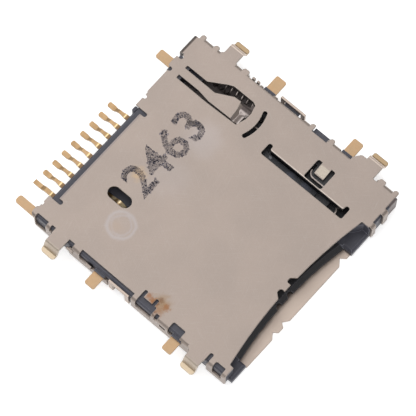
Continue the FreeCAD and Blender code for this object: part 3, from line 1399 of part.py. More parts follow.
def detect_spring():
    """Moving blade of the card switch, with the narrow tail beside the signal tails."""
    tail_mid = tail_x(0)
    half = DETECT_TAIL_WIDTH / 2
    foot_back = TAIL_TIP_Y - TAIL_FOOT_LENGTH
    bend_y = CARD_STOP_Y + SWITCH_BEND_FROM_STOP
    path = [
        (TAIL_TIP_Y, FOOT_MID_Z),
        (foot_back, FOOT_MID_Z),
        (foot_back - TAIL_STEP_LENGTH, EXIT_MID_Z),
        (bend_y, EXIT_MID_Z),
    ]
    flat = strip_along_y(path, CONTACT_SHEET, TIGHT_BEND, (tail_mid - half, tail_mid + half))
    blade_x = switch_blade_x()
    blade_path = [
        (tail_mid, bend_y),
        (blade_x, bend_y),
        (blade_x, CARD_STOP_Y - 0.85),
        (CARD_LEFT + 0.05, CARD_STOP_Y - 1.30),
        (blade_x + 0.08, CARD_STOP_Y - 1.80),
    ]
    z = (FLOOR_TOP + SWITCH_FLOOR_GAP, EXIT_MID_Z + CONTACT_SHEET / 2)
    blade = upright_blade(blade_path, SWITCH_BLADE_SHEET, 0.0, z)
    return fuse([flat, blade])


def ground_terminal():
    """Fixed terminal of the card switch, whose flat tab is the left rear one."""
    x = GROUND_TAB_X
    blade_front = CARD_STOP_Y - GROUND_BLADE_FROM_STOP
    blade_y = (blade_front, blade_front + GROUND_BLADE_LENGTH)
    arm = x[1] - 0.25
    tab = [
        (x[0], REAR_WALL_Y),
        (x[0], GROUND_TAB_TIP, REAR_TAB_CORNER),
        (x[1], GROUND_TAB_TIP, REAR_TAB_CORNER),
        (x[1], blade_y[0]),
        (arm, blade_y[0]),
        (arm, REAR_WALL_Y),
    ]
    blade = box((x[1] - SHEET, x[1]), blade_y, (FLOOR_TOP + SWITCH_FLOOR_GAP, TAB_Z[1]))
    return fuse([plan(tab, TAB_Z), blade])


def side_tab(name):
    """Flat solder tab pressed into the side of the plastic, with a waist at the wall."""
    side, (low, high) = side_tabs()[name]
    wall = plastic_wall(side)
    tip = SHELL_LEFT - LEFT_TAB_REACH if side < 0 else SHELL_RIGHT + RIGHT_TAB_REACH
    inner = wall - side * tab_room(side)
    outline = [
        (inner, low),
        (wall - side * 0.10, low),
        (wall, low + TAB_WAIST),
        (wall + side * 0.10, low),
        (tip, low, TAB_CORNER),
        (tip, high, TAB_CORNER),
        (wall + side * 0.10, high),
        (wall, high - TAB_WAIST),
        (wall - side * 0.10, high),
        (inner, high),
    ]
    return plan(outline, TAB_Z)


def rear_solder_tab():
    """Flat solder tab at the back, behind the slider's bay."""
    inner = REAR_WALL_Y - TAB_ANCHOR_DEPTH
    tip = REAR_WALL_Y + REAR_SOLDER_TAB_REACH
    outline = [
        (REAR_TAB_X[0], inner),
        (REAR_TAB_X[1], inner),
        (REAR_TAB_X[1], tip, TAB_CORNER),
        (REAR_TAB_X[0], tip, TAB_CORNER),
    ]
    return plan(outline, TAB_Z)


def cam_lane_x(y):
    """Middle of the push-in lane of the cam, where the pin's follower runs."""
    return PIN_X - PIN_SWING * (PIN_FOLLOWER_Y - y) / SLIDER_TRAVEL


def cam_groove():
    """Heart-shaped loop in the slider's deck that the follower runs round."""
    half = PIN_RADIUS + CAM_CLEARANCE
    z = (SLIDER_DECK_Z - CAM_DEPTH, FAR)
    front_y = PIN_FOLLOWER_Y - SLIDER_TRAVEL
    back_y = PIN_FOLLOWER_Y
    left = cam_lane_x(front_y) - half
    right = PIN_X + CAM_RETURN_OFFSET + half
    outer = [
        (PIN_X - half - 0.01, back_y + half),
        (left, front_y + 0.2),
        (left, front_y - half),
        (right, front_y - half),
        (right, back_y - 1.5),
        (PIN_X + half + 0.01, back_y - 0.5),
        (PIN_X + half + 0.01, back_y + half),
    ]
    heart_back = back_y - HEART_BACK
    heart_front = front_y + HEART_FRONT
    heart = [
        (PIN_X + 0.08, heart_back),
        (cam_lane_x(heart_back - 0.3) + half, heart_back - 0.3),
        (cam_lane_x(heart_front) + half, heart_front),
        (PIN_X - 0.02, heart_front + 0.35),
        (right - 2 * half, heart_front + 0.1),
        (right - 2 * half, heart_back - 0.4),
    ]
    return plan(outer, z).cut(plan(heart, z))


def slider():
    """Moulded slider: deck with the cam, raised block, card arm, ridges and spring seat."""
    split = SPRING_X - SPRING_OUTER_RADIUS - RUNNING_GAP
    deck = plan([
        (SLIDER_LEFT, SLIDER_FRONT),
        (SLIDER_RIGHT, SLIDER_FRONT),
        (SLIDER_RIGHT, SLIDER_SEAT_Y),
        (split, SLIDER_SEAT_Y),
        (split, SLIDER_CAM_BACK),
        (SLIDER_LEFT + 0.35, SLIDER_CAM_BACK),
        (SLIDER_LEFT, SLIDER_CAM_BACK - 0.35),
    ], (SLIDER_FOOT_Z, SLIDER_DECK_Z))
    block_z = (SLIDER_DECK_Z - 0.1, SLIDER_BLOCK_Z)
    block = plan([
        (BLOCK_LEFT, SLIDER_FRONT),
        (SLIDER_RIGHT, SLIDER_FRONT),
        (SLIDER_RIGHT, SLIDER_BLOCK_BACK),
        (BLOCK_LEFT, SLIDER_BLOCK_BACK),
    ], block_z, SLIDER_BLOCK_CORNER)
    rib = box((split + 0.12, SLIDER_RIGHT), (SLIDER_BLOCK_BACK - 0.5, SLIDER_SEAT_Y), block_z)
    ridge_z = (SLIDER_DECK_Z - 0.1, SLIDER_DECK_Z + SLIDER_RIDGE_HEIGHT)
    ridge = box((SLIDER_LEFT, FLANGE_X - RUNNING_GAP), (ARM_FACE_Y - 0.2, SLIDER_SEAT_Y - 0.2), ridge_z)
    arm_z = (FLOOR_TOP + RUNNING_GAP, FLOOR_TOP + RUNNING_GAP + ARM_HEIGHT)
    arm_left = NOSE_RIGHT + CARD_CLEARANCE
    arm_back = ARM_FACE_Y + ARM_DEPTH
    arm = plan([
        (arm_left, ARM_FACE_Y),
        (SLIDER_LEFT + 0.3, ARM_FACE_Y),
        (SLIDER_LEFT + 0.3, arm_back + 0.5),
        (SLIDER_LEFT, arm_back + 0.5),
        (arm_left + 0.5, arm_back),
        (arm_left, arm_back - ARM_CORNER),
    ], arm_z)
    peg_y = (SLIDER_SEAT_Y - 0.1, SLIDER_SEAT_Y + SPRING_PEG_LENGTH)
    peg = lengthwise(SPRING_X, SPRING_Z, SPRING_PEG_RADIUS, peg_y)
    body = fuse([deck, block, rib, ridge, arm, peg])
    return body.cut([cam_groove()] + lock_pocket())


def lock_x():
    """Middle of the card lock leaf where it lies along the slider's block."""
    return BLOCK_LEFT - FIT - LOCK_SHEET / 2


def lock_anchor_y():
    """Stretch of the slider in which the card lock leaf is held."""
    return SLIDER_FRONT + LOCK_ANCHOR_FROM_FRONT[0], SLIDER_FRONT + LOCK_ANCHOR_FROM_FRONT[1]


def lock_pocket():
    """Pocket in the slider's front in which the card lock leaf can move."""
    half = LOCK_SHEET / 2 + FIT
    anchor = lock_anchor_y()
    foot = LOCK_FOOT_Z - FIT
    pocket_y = (SLIDER_FRONT + 0.40, anchor[0])
    slot_y = (anchor[0] - 0.10, anchor[1] + FIT)
    return [
        box((SLIDER_LEFT - 0.1, lock_x() + half), pocket_y, (foot, SLIDER_DECK_Z + 0.01)),
        box((lock_x() - half, lock_x() + half), slot_y, (foot, SLIDER_DECK_Z + 0.01)),
    ]


def card_lock_leaf():
    """Leaf spring hooked round the slider's block, whose nose clicks into the card's notch."""
    x = lock_x()
    anchor = lock_anchor_y()
    hook_y = SLIDER_BLOCK_BACK + FIT + LOCK_SHEET / 2
    nose_y = SLIDER_FRONT + LOCK_NOSE_FROM_FRONT
    top_z = SLIDER_BLOCK_Z + LOCK_PROUD
    low_z = (LOCK_FOOT_Z, LOCK_FOOT_Z + LOCK_HEIGHT)
    hook_path = [(x + LOCK_HOOK, hook_y), (x, hook_y, SLIDER_BLOCK_CORNER + FIT), (x, anchor[0])]
    nose_path = [
        (x, anchor[1]),
        (x, anchor[0] - 0.25, 0.20),
        (FLANGE_X - 0.13, anchor[0] - 0.66, 0.20),
        (CHANNEL_RIGHT + 0.02, nose_y + 0.24),
        (CHANNEL_RIGHT - 0.24, nose_y),
        (CHANNEL_RIGHT - 0.10, nose_y - 0.20),
    ]
    half = LOCK_SHEET / 2
    hook = upright_blade(hook_path, LOCK_SHEET, 0.0, (SLIDER_DECK_Z + FIT, top_z))
    root = box((x - half, x + half), anchor, (LOCK_FOOT_Z, top_z))
    nose = upright_blade(nose_path, LOCK_SHEET, 0.05, low_z)
    return fuse([hook, root, nose])


def coil_spring():
    """Compression spring behind the slider, its wire drawn as short straight runs."""
    radius = SPRING_OUTER_RADIUS - SPRING_WIRE_RADIUS
    start = SLIDER_SEAT_Y + SPRING_WIRE_RADIUS + FIT
    length = BAY_BACK - SPRING_WIRE_RADIUS - FIT - start
    runs = SPRING_TURNS * SPRING_RUNS_PER_TURN
    path = []
    for index in range(runs + 1):
        angle = 2 * math.pi * index / SPRING_RUNS_PER_TURN
        x = SPRING_X + radius * math.cos(angle)
        z = SPRING_Z + radius * math.sin(angle)
        path.append(V(x, start + length * index / runs, z))
    section = []
    for quarter in range(5):
        angle = math.pi / 2 * quarter
        across = SPRING_WIRE_RADIUS * math.cos(angle)
        section.append(path[0] + V(across, SPRING_WIRE_RADIUS * math.sin(angle), 0))
    return Part.makePolygon(path).makePipeShell([Part.makePolygon(section)], True, True, 1)


def cam_pin():
    """Bent wire: pivot leg in the plastic, shank under the leaf spring, leg in the cam."""
    floor_z = SLIDER_DECK_Z - CAM_DEPTH + RUNNING_GAP
    pivot_z = PIN_SHANK_Z - PIN_RADIUS - RUNNING_GAP - PIN_LEG_DEPTH
    middle = [
        V(PIN_X, PIN_PIVOT_Y, pivot_z),
        V(PIN_X, PIN_PIVOT_Y, PIN_SHANK_Z),
        V(PIN_X, PIN_FOLLOWER_Y, PIN_SHANK_Z),
        V(PIN_X, PIN_FOLLOWER_Y, floor_z),
    ]
    section = Part.Wire(Part.makeCircle(PIN_RADIUS, middle[0]))
    return Part.makePolygon(middle).makePipeShell([section], True, False, 1)


def parts():
    """Every piece by name."""
    made = {
        "top_shell": top_shell(),
        "housing": housing(),
        "bottom_plate": bottom_plate(),
        "slider": slider(),
        "cam_pin": cam_pin(),
        "coil_spring": coil_spring(),
        "card_lock_leaf": card_lock_leaf(),
        "detect_spring": detect_spring(),
        "ground_terminal": ground_terminal(),
        "rear_solder_tab": rear_solder_tab(),
    }
    for name in side_tabs():
        made[name] = side_tab(name)
    for index in range(CONTACT_COUNT):
        made["contact_%d" % (index + 1)] = contact(index)
    return made


os.makedirs("parts", exist_ok=True)
for part_name, shape in parts().items():
    print(part_name, shape.isValid(), len(shape.Solids), round(shape.Volume, 4))
    shape.exportStep("parts/%s.step" % part_name)
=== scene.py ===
"""Looks of a sunk memory card socket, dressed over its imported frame."""

import json
import logging
import math
from dataclasses import dataclass, field
from enum import Enum
from random import Random

import bmesh
import bpy
from mathutils import Matrix, Vector
from mathutils.geometry import intersect_point_line


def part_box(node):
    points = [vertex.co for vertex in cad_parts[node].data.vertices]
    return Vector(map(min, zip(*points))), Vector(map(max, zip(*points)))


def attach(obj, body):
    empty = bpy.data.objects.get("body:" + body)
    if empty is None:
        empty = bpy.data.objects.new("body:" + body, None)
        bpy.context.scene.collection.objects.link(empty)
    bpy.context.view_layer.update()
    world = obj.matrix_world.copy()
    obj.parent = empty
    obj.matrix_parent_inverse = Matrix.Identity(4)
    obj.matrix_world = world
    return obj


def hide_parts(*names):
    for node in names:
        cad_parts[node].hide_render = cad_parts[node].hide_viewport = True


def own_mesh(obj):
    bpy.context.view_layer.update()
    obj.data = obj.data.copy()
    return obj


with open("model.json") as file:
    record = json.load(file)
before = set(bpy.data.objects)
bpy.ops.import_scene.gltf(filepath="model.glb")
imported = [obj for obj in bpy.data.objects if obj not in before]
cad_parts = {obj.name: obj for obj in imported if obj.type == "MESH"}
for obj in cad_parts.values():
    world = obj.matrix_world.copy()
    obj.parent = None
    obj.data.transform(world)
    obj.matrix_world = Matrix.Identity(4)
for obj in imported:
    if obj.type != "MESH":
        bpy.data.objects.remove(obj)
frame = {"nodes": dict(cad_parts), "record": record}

MM = 0.001
LOG = logging.getLogger("socket")
Colour = tuple[float, float, float]
Place = tuple[float, float, float]
Span = tuple[float, float]
Socket = bpy.types.NodeSocket
ANYWHERE: Span = (-100.0, 100.0)


class Slot(Enum):
    """Material slots of the record."""

    SHELL = "shell_steel"
    PLATE = "plate_steel"
    HOUSING = "housing_plastic"
    SLIDER = "slider_plastic"
    GOLD = "contact_gold"
    SPRING = "spring_steel"


def link_piece(bm: bmesh.types.BMesh, name: str) -> bpy.types.Object:
    """Turns a finished bmesh in millimetres into an object of the scene, in metres.

    Args:
        bm: The mesh, which is freed.
        name: Name of the object and its mesh.

    Returns:
        The object.
    """
    bmesh.ops.scale(bm, vec=(MM, MM, MM), verts=bm.verts)
    mesh = bpy.data.meshes.new(name)
    bm.to_mesh(mesh)
    bm.free()
    made = bpy.data.objects.new(name, mesh)
    bpy.context.scene.collection.objects.link(made)
    return made


class Wiring:
    """Adds and joins the nodes of one shader tree."""

    # numbers of the colour sockets on a Mix node, which has sockets for every type
    MIX_UNDER = 6
    MIX_OVER = 7
    MIX_RESULT = 2

    def __init__(self, tree: bpy.types.NodeTree) -> None:
        """Starts on a tree.

        Args:
            tree: Node tree of a material or a group.
        """
        self.tree = tree

    def add(self, kind: str, **settings: object) -> bpy.types.Node:
        """Adds one node.

        Args:
            kind: Type name of the node.
            settings: Properties to set on it.

        Returns:
            The new node.
        """
        node = self.tree.nodes.new(kind)
        for name, value in settings.items():
            setattr(node, name, value)
        return node

    def feed(self, socket: Socket, value: object) -> None:
        """Links another socket to this one, or sets its value.

        Args:
            socket: Input socket to fill.
            value: Output socket, number, colour or vector.
        """
        if isinstance(value, bpy.types.NodeSocket):
            self.tree.links.new(value, socket)
        elif socket.type == "RGBA" and len(value) == 3:
            socket.default_value = (*value, 1.0)
        else:
            socket.default_value = value

    def maths(self, operation: str, first: object, second: object = 0.0, clamp: bool = False
              ) -> Socket:
        """Joins two numbers by one operation.

        Args:
            operation: Name of the Math node's operation.
            first: Socket or number.
            second: Socket or number.
            clamp: Keeps the result between 0 and 1.

        Returns:
            The result's socket.
        """
        node = self.add("ShaderNodeMath", operation=operation, use_clamp=clamp)
        self.feed(node.inputs[0], first)
        self.feed(node.inputs[1], second)
        return node.outputs[0]

    def vector(self, operation: str, first: object, second: object) -> bpy.types.Node:
        """Joins two vectors by one operation.

        Args:
            operation: Name of the Vector Math node's operation.
            first: Socket or vector.
            second: Socket or vector.

        Returns:
            The node, which has a vector and a value output.
        """
        node = self.add("ShaderNodeVectorMath", operation=operation)
        self.feed(node.inputs[0], first)
        self.feed(node.inputs[1], second)
        return node

    def remap(self, value: Socket, low: object, high: object, start: object = 0.0, end: object = 1.0
              ) -> Socket:
        """Maps a range of one value smoothly onto another range.

        Args:
            value: Socket that is mapped.
            low: Value that gives start.
            high: Value that gives end.
            start: Result at low.
            end: Result at high.

        Returns:
            The mapped value's socket.
        """
        node = self.add("ShaderNodeMapRange", interpolation_type="SMOOTHSTEP")
        for socket, content in zip(node.inputs, (value, low, high, start, end)):
            self.feed(socket, content)
        return node.outputs[0]

    def blend(self, mask: object, under: object, over: object) -> Socket:
        """Lays one colour over another.

        Args:
            mask: Where the upper colour shows.
            under: Lower colour.
            over: Upper colour.

        Returns:
            The mixed colour's socket.
        """
        node = self.add("ShaderNodeMix", data_type="RGBA")
        self.feed(node.inputs[0], mask)
        self.feed(node.inputs[self.MIX_UNDER], under)
        self.feed(node.inputs[self.MIX_OVER], over)
        return node.outputs[self.MIX_RESULT]

    def noise(self, place: Socket, size: Socket, detail: float) -> Socket:
        """Adds noise of a given size.

        Args:
            place: Coordinates that the noise follows.
            size: Size of its grains.
            detail: Number of finer layers in it.

        Returns:
            The noise value's socket.
        """
        node = self.add("ShaderNodeTexNoise")
        node.inputs["Detail"].default_value = detail
        self.feed(node.inputs["Vector"], place)
        self.feed(node.inputs["Scale"], self.maths("DIVIDE", 1.0, size))
        return node.outputs[0]

    def effect(self, group: bpy.types.NodeTree, **values: object) -> bpy.types.Node:
        """Places a shared effect in this tree.

        Args:
            group: The effect's node group.
            values: Inputs by name, with underscores for spaces.

        Returns:
            The group node.
        """
        node = self.add("ShaderNodeGroup", node_tree=group)
        for name, value in values.items():
            self.feed(node.inputs[name.replace("_", " ").capitalize()], value)
        return node


class Effects:
    """Shader node groups that several finishes share, each built once."""

    FLOAT = "NodeSocketFloat"
    VECTOR = "NodeSocketVector"
    SCRATCH_STRETCH = (1.0, 0.025, 1.0)
    SCRATCH_EDGE = 0.08
    EDGE_STARTS_AT = 0.99
    EDGE_FULL_AT = 0.80

    def __init__(self) -> None:
        """Builds every group."""
        self.mottle = self._mottle()
        self.scratches = self._scratches()
        self.spot = self._spot()
        self.patch = self._patch()
        self.edges = self._edges()

    def _group(self, name: str, inputs: dict[str, tuple[str, object]], outputs: dict[str, str]
               ) -> tuple[Wiring, dict[str, Socket], bpy.types.Node]:
        """Starts a node group with its sockets.

        Args:
            name: Name of the group.
            inputs: Socket type and default of each input.
            outputs: Socket type of each output.

        Returns:
            The wiring, the input sockets by name and the output node.
        """
        tree = bpy.data.node_groups.new(name, "ShaderNodeTree")
        for label, (kind, default) in inputs.items():
            socket = tree.interface.new_socket(name=label, in_out="INPUT", socket_type=kind)
            socket.default_value = default
        for label, kind in outputs.items():
            tree.interface.new_socket(name=label, in_out="OUTPUT", socket_type=kind)
        wiring = Wiring(tree)
        entry = wiring.add("NodeGroupInput")
        leave = wiring.add("NodeGroupOutput")
        return wiring, {socket.name: socket for socket in entry.outputs}, leave

    def _mottle(self) -> bpy.types.NodeTree:
        """Soft cloudy variation of a given size.

        Returns:
            The node group.
        """
        inputs = {
            "Size": (self.FLOAT, MM),
            "Stretch": (self.VECTOR, (1.0, 1.0, 1.0)),
            "Low": (self.FLOAT, 0.35),
            "High": (self.FLOAT, 0.65),
        }
        wiring, entry, leave = self._group("mottle", inputs, {"Value": self.FLOAT})
        coordinates = wiring.add("ShaderNodeTexCoord").outputs["Object"]
        stretched = wiring.vector("MULTIPLY", coordinates, entry["Stretch"]).outputs[0]
        clouds = wiring.noise(stretched, entry["Size"], detail=4.0)
        wiring.feed(leave.inputs["Value"], wiring.remap(clouds, entry["Low"], entry["High"]))
        return wiring.tree

    def _scratches(self) -> bpy.types.NodeTree:
        """Fine straight scratches in one direction.

        Returns:
            The node group.
        """
        inputs = {
            "Width": (self.FLOAT, 0.03 * MM),
            "Angle": (self.FLOAT, 0.0),
            "Threshold": (self.FLOAT, 0.62),
        }
        wiring, entry, leave = self._group("scratches", inputs, {"Mask": self.FLOAT})
        coordinates = wiring.add("ShaderNodeTexCoord").outputs["Object"]
        turned = wiring.add("ShaderNodeVectorRotate", rotation_type="Z_AXIS")
        wiring.feed(turned.inputs["Vector"], coordinates)
        wiring.feed(turned.inputs["Angle"], entry["Angle"])
        drawn_out = wiring.vector("MULTIPLY", turned.outputs[0], self.SCRATCH_STRETCH).outputs[0]
        lines = wiring.noise(drawn_out, entry["Width"], detail=2.0)
        full = wiring.maths("ADD", entry["Threshold"], self.SCRATCH_EDGE)
        wiring.feed(leave.inputs["Mask"], wiring.remap(lines, entry["Threshold"], full))
        return wiring.tree

    def _spot(self) -> bpy.types.NodeTree:
        """A ragged disc and its rim round one place.

        Returns:
            The node group.
        """
        inputs = {
            "Centre": (self.VECTOR, (0.0, 0.0, 0.0)),
            "Radius": (self.FLOAT, MM),
            "Softness": (self.FLOAT, 0.1 * MM),
            "Ragged": (self.FLOAT, 0.1 * MM),
            "Grain": (self.FLOAT, 0.3 * MM),
        }
        wiring, entry, leave = self._group("spot", inputs, {"Disc": self.FLOAT, "Ring": self.FLOAT})
        coordinates = wiring.add("ShaderNodeTexCoord").outputs["Object"]
        distance = wiring.vector("DISTANCE", coordinates, entry["Centre"]).outputs["Value"]
        grains = wiring.noise(coordinates, entry["Grain"], detail=3.0)
        swing = wiring.maths("SUBTRACT", grains, 0.5)
        uneven = wiring.maths("ADD", distance, wiring.maths("MULTIPLY", swing, entry["Ragged"]))
        inside = wiring.maths("SUBTRACT", entry["Radius"], entry["Softness"])
        outside = wiring.maths("ADD", entry["Radius"], entry["Softness"])
        wiring.feed(leave.inputs["Disc"], wiring.remap(uneven, inside, outside, 1.0, 0.0))
        off_rim = wiring.maths("ABSOLUTE", wiring.maths("SUBTRACT", uneven, entry["Radius"]))
        wiring.feed(leave.inputs["Ring"], wiring.remap(off_rim, 0.0, entry["Softness"], 1.0, 0.0))
        return wiring.tree

    def _patch(self) -> bpy.types.NodeTree:
        """A box-shaped region with soft sides.

        Returns:
            The node group.
        """
        inputs = {
            "Low": (self.VECTOR, (-1.0, -1.0, -1.0)),
            "High": (self.VECTOR, (1.0, 1.0, 1.0)),
            "Softness": (self.FLOAT, 0.05 * MM),
        }
        wiring, entry, leave = self._group("patch", inputs, {"Mask": self.FLOAT})
        coordinates = wiring.add("ShaderNodeTexCoord").outputs["Object"]
        parts = []
        for source in (coordinates, entry["Low"], entry["High"]):
            node = wiring.add("ShaderNodeSeparateXYZ")
            wiring.feed(node.inputs[0], source)
            parts.append(node.outputs)
        mask: object = 1.0
        for place, low, high in zip(*parts):
            rise = wiring.remap(place, low, wiring.maths("ADD", low, entry["Softness"]))
            fall_start = wiring.maths("SUBTRACT", high, entry["Softness"])
            fall = wiring.remap(place, fall_start, high, 1.0, 0.0)
            mask = wiring.maths("MULTIPLY", mask, wiring.maths("MULTIPLY", rise, fall))
        wiring.feed(leave.inputs["Mask"], mask)
        return wiring.tree

    def _edges(self) -> bpy.types.NodeTree:
        """Rounded normals near sharp edges, and a mask of those edges.

        Returns:
            The node group.
        """
        outputs = {"Mask": self.FLOAT, "Normal": self.VECTOR}
        wiring, entry, leave = self._group("edges", {"Radius": (self.FLOAT, 0.03 * MM)}, outputs)
        bevel = wiring.add("ShaderNodeBevel", samples=6)
        wiring.feed(bevel.inputs["Radius"], entry["Radius"])
        normal = wiring.add("ShaderNodeNewGeometry").outputs["Normal"]
        straight = wiring.vector("DOT_PRODUCT", bevel.outputs[0], normal).outputs["Value"]
        wiring.feed(leave.inputs["Mask"], wiring.remap(straight, self.EDGE_STARTS_AT, self.EDGE_FULL_AT))
        wiring.feed(leave.inputs["Normal"], bevel.outputs[0])
        return wiring.tree


@dataclass(frozen=True)
class Mark:
    """A round stain, haze or worn place on a surface. Lengths are millimetres."""

    centre: Place
    radius: float
    colour: Colour
    strength: float
    softness: float = 0.15
    ragged: float = 0.3
    grain: float = 0.3
    rim: bool = False

    def mask(self, wiring: Wiring, effects: Effects) -> Socket:
        """Finds where the mark shows.

        Args:
            wiring: Wiring of the material.
            effects: Shared node groups.

        Returns:
            The mask before its strength.
        """
        spot = wiring.effect(
            effects.spot, centre=Vector(self.centre) * MM, radius=self.radius * MM,
            softness=self.softness * MM, ragged=self.ragged * MM, grain=self.grain * MM,
        )
        return spot.outputs["Ring" if self.rim else "Disc"]


@dataclass(frozen=True)
class Patch:
    """A box-shaped region of another colour on a surface. Lengths are millimetres."""

    colour: Colour
    strength: float
    x: Span = ANYWHERE
    y: Span = ANYWHERE
    z: Span = ANYWHERE
    softness: float = 0.05

    def mask(self, wiring: Wiring, effects: Effects) -> Socket:
        """Finds where the patch shows.

        Args:
            wiring: Wiring of the material.
            effects: Shared node groups.

        Returns:
            The mask before its strength.
        """
        low, high = (Vector(corner) * MM for corner in zip(self.x, self.y, self.z))
        region = wiring.effect(effects.patch, low=low, high=high, softness=self.softness * MM)
        return region.outputs[0]


@dataclass(frozen=True)
class Finish:
    """Base of every finish: two tones, gloss and the marks laid over them. Sizes are millimetres."""

    name: str
    tone: Colour
    second_tone: Colour
    metallic: float
    roughness: Span
    specular: float = 0.5
    mottle_size: float = 2.5
    mottle_range: Span = (0.3, 0.7)
    mottle_gloss: float = 0.6
    grain_size: float = 0.06
    grain_range: Span = (0.2, 0.8)
    grain_dimming: float = 0.82
    grain_strength: float = 0.35
    grain_gloss: float = 0.4
    grain_height: float = 0.004
    edge_radius: float = 0.03
    edge_colour: Colour = (0.8, 0.76, 0.7)
    edge_strength: float = 0.3
    scratch_angles: tuple[float, ...] = ()
    scratch_colour: Colour = (0.7, 0.66, 0.62)
    scratch_strength: float = 0.12
    layers: tuple[Patch | Mark, ...] = ()
    see_through: Span | None = None

    def material(self, effects: Effects) -> bpy.types.Material:
        """Builds the finish as a material.

        Args:
            effects: Shared node groups.

        Returns:
            The material.
        """
        made = bpy.data.materials.new(self.name)
        made.use_nodes = True
        wiring = Wiring(made.node_tree)
        surface = made.node_tree.nodes["Principled BSDF"]
        surface.inputs["Metallic"].default_value = self.metallic
        surface.inputs["Specular IOR Level"].default_value = self.specular
        broad, fine = (
            wiring.effect(effects.mottle, size=size * MM, low=low, high=high).outputs[0]
            for size, (low, high) in (
                (self.mottle_size, self.mottle_range), (self.grain_size, self.grain_range),
            )
        )
        colour = wiring.blend(broad, self.tone, self.second_tone)
        dimmed = tuple(self.grain_dimming * part for part in self.tone)
        colour = wiring.blend(wiring.maths("MULTIPLY", fine, self.grain_strength), colour, dimmed)
        colour = self._scratched(wiring, effects, colour)
        for layer in self.layers:
            mask = wiring.maths("MULTIPLY", layer.mask(wiring, effects), layer.strength)
            colour = wiring.blend(mask, colour, layer.colour)
        # sharp edges lightened towards the edge colour: partly edge wear, partly painted highlight along
        # the edges
        edges = wiring.effect(effects.edges, radius=self.edge_radius * MM)
        edge_wear_and_highlight = wiring.maths("MULTIPLY", edges.outputs["Mask"], self.edge_strength, clamp=True)
        wiring.feed(surface.inputs["Base Color"], wiring.blend(edge_wear_and_highlight, colour, self.edge_colour))
        gloss = wiring.maths("MULTIPLY", broad, self.mottle_gloss)
        gloss = wiring.maths("ADD", gloss, wiring.maths("MULTIPLY", fine, self.grain_gloss))
        wiring.feed(surface.inputs["Roughness"], wiring.remap(gloss, 0.0, 1.0, *self.roughness))
        bump = wiring.add("ShaderNodeBump")
        bump.inputs["Distance"].default_value = self.grain_height * MM
        wiring.feed(bump.inputs["Height"], fine)
        wiring.feed(bump.inputs["Normal"], edges.outputs["Normal"])
        wiring.feed(surface.inputs["Normal"], bump.outputs[0])
        if self.see_through:
            wiring.feed(surface.inputs["Alpha"], wiring.remap(fine, 0.0, 1.0, *self.see_through))
        return made

    def _scratched(self, wiring: Wiring, effects: Effects, colour: Socket) -> Socket:
        """Lays scratches over the colour.

        Args:
            wiring: Wiring of the material.
            effects: Shared node groups.
            colour: Colour so far.

        Returns:
            The new colour.
        """
        for angle in self.scratch_angles:
            lines = wiring.effect(effects.scratches, angle=math.radians(angle))
            mask = wiring.maths("MULTIPLY", lines.outputs[0], self.scratch_strength)
            colour = wiring.blend(mask, colour, self.scratch_colour)
        return colour


@dataclass
class Pieces:
    """The CAD nodes of the frame, by name and by material slot."""

    nodes: dict[str, bpy.types.Object] = field(default_factory=lambda: dict(frame["nodes"]))

    def in_slot(self, slot: Slot) -> list[str]:
        """Names of the nodes in one material slot.

        Args:
            slot: Slot of the record.

        Returns:
            Node names in the record's order.
        """
        rows = frame["record"]["subparts"]
        return [row["node"] for row in rows if row["material_slot"] == slot.value]

    def dress(self, name: str, material: bpy.types.Material) -> None:
        """Gives one node its material.

        Args:
            name: Node name.
            material: Material that covers it.
        """
        slots = self.nodes[name].data.materials
        slots.clear()
        slots.append(material)
        LOG.info("dressed %s in %s", name, material.name)


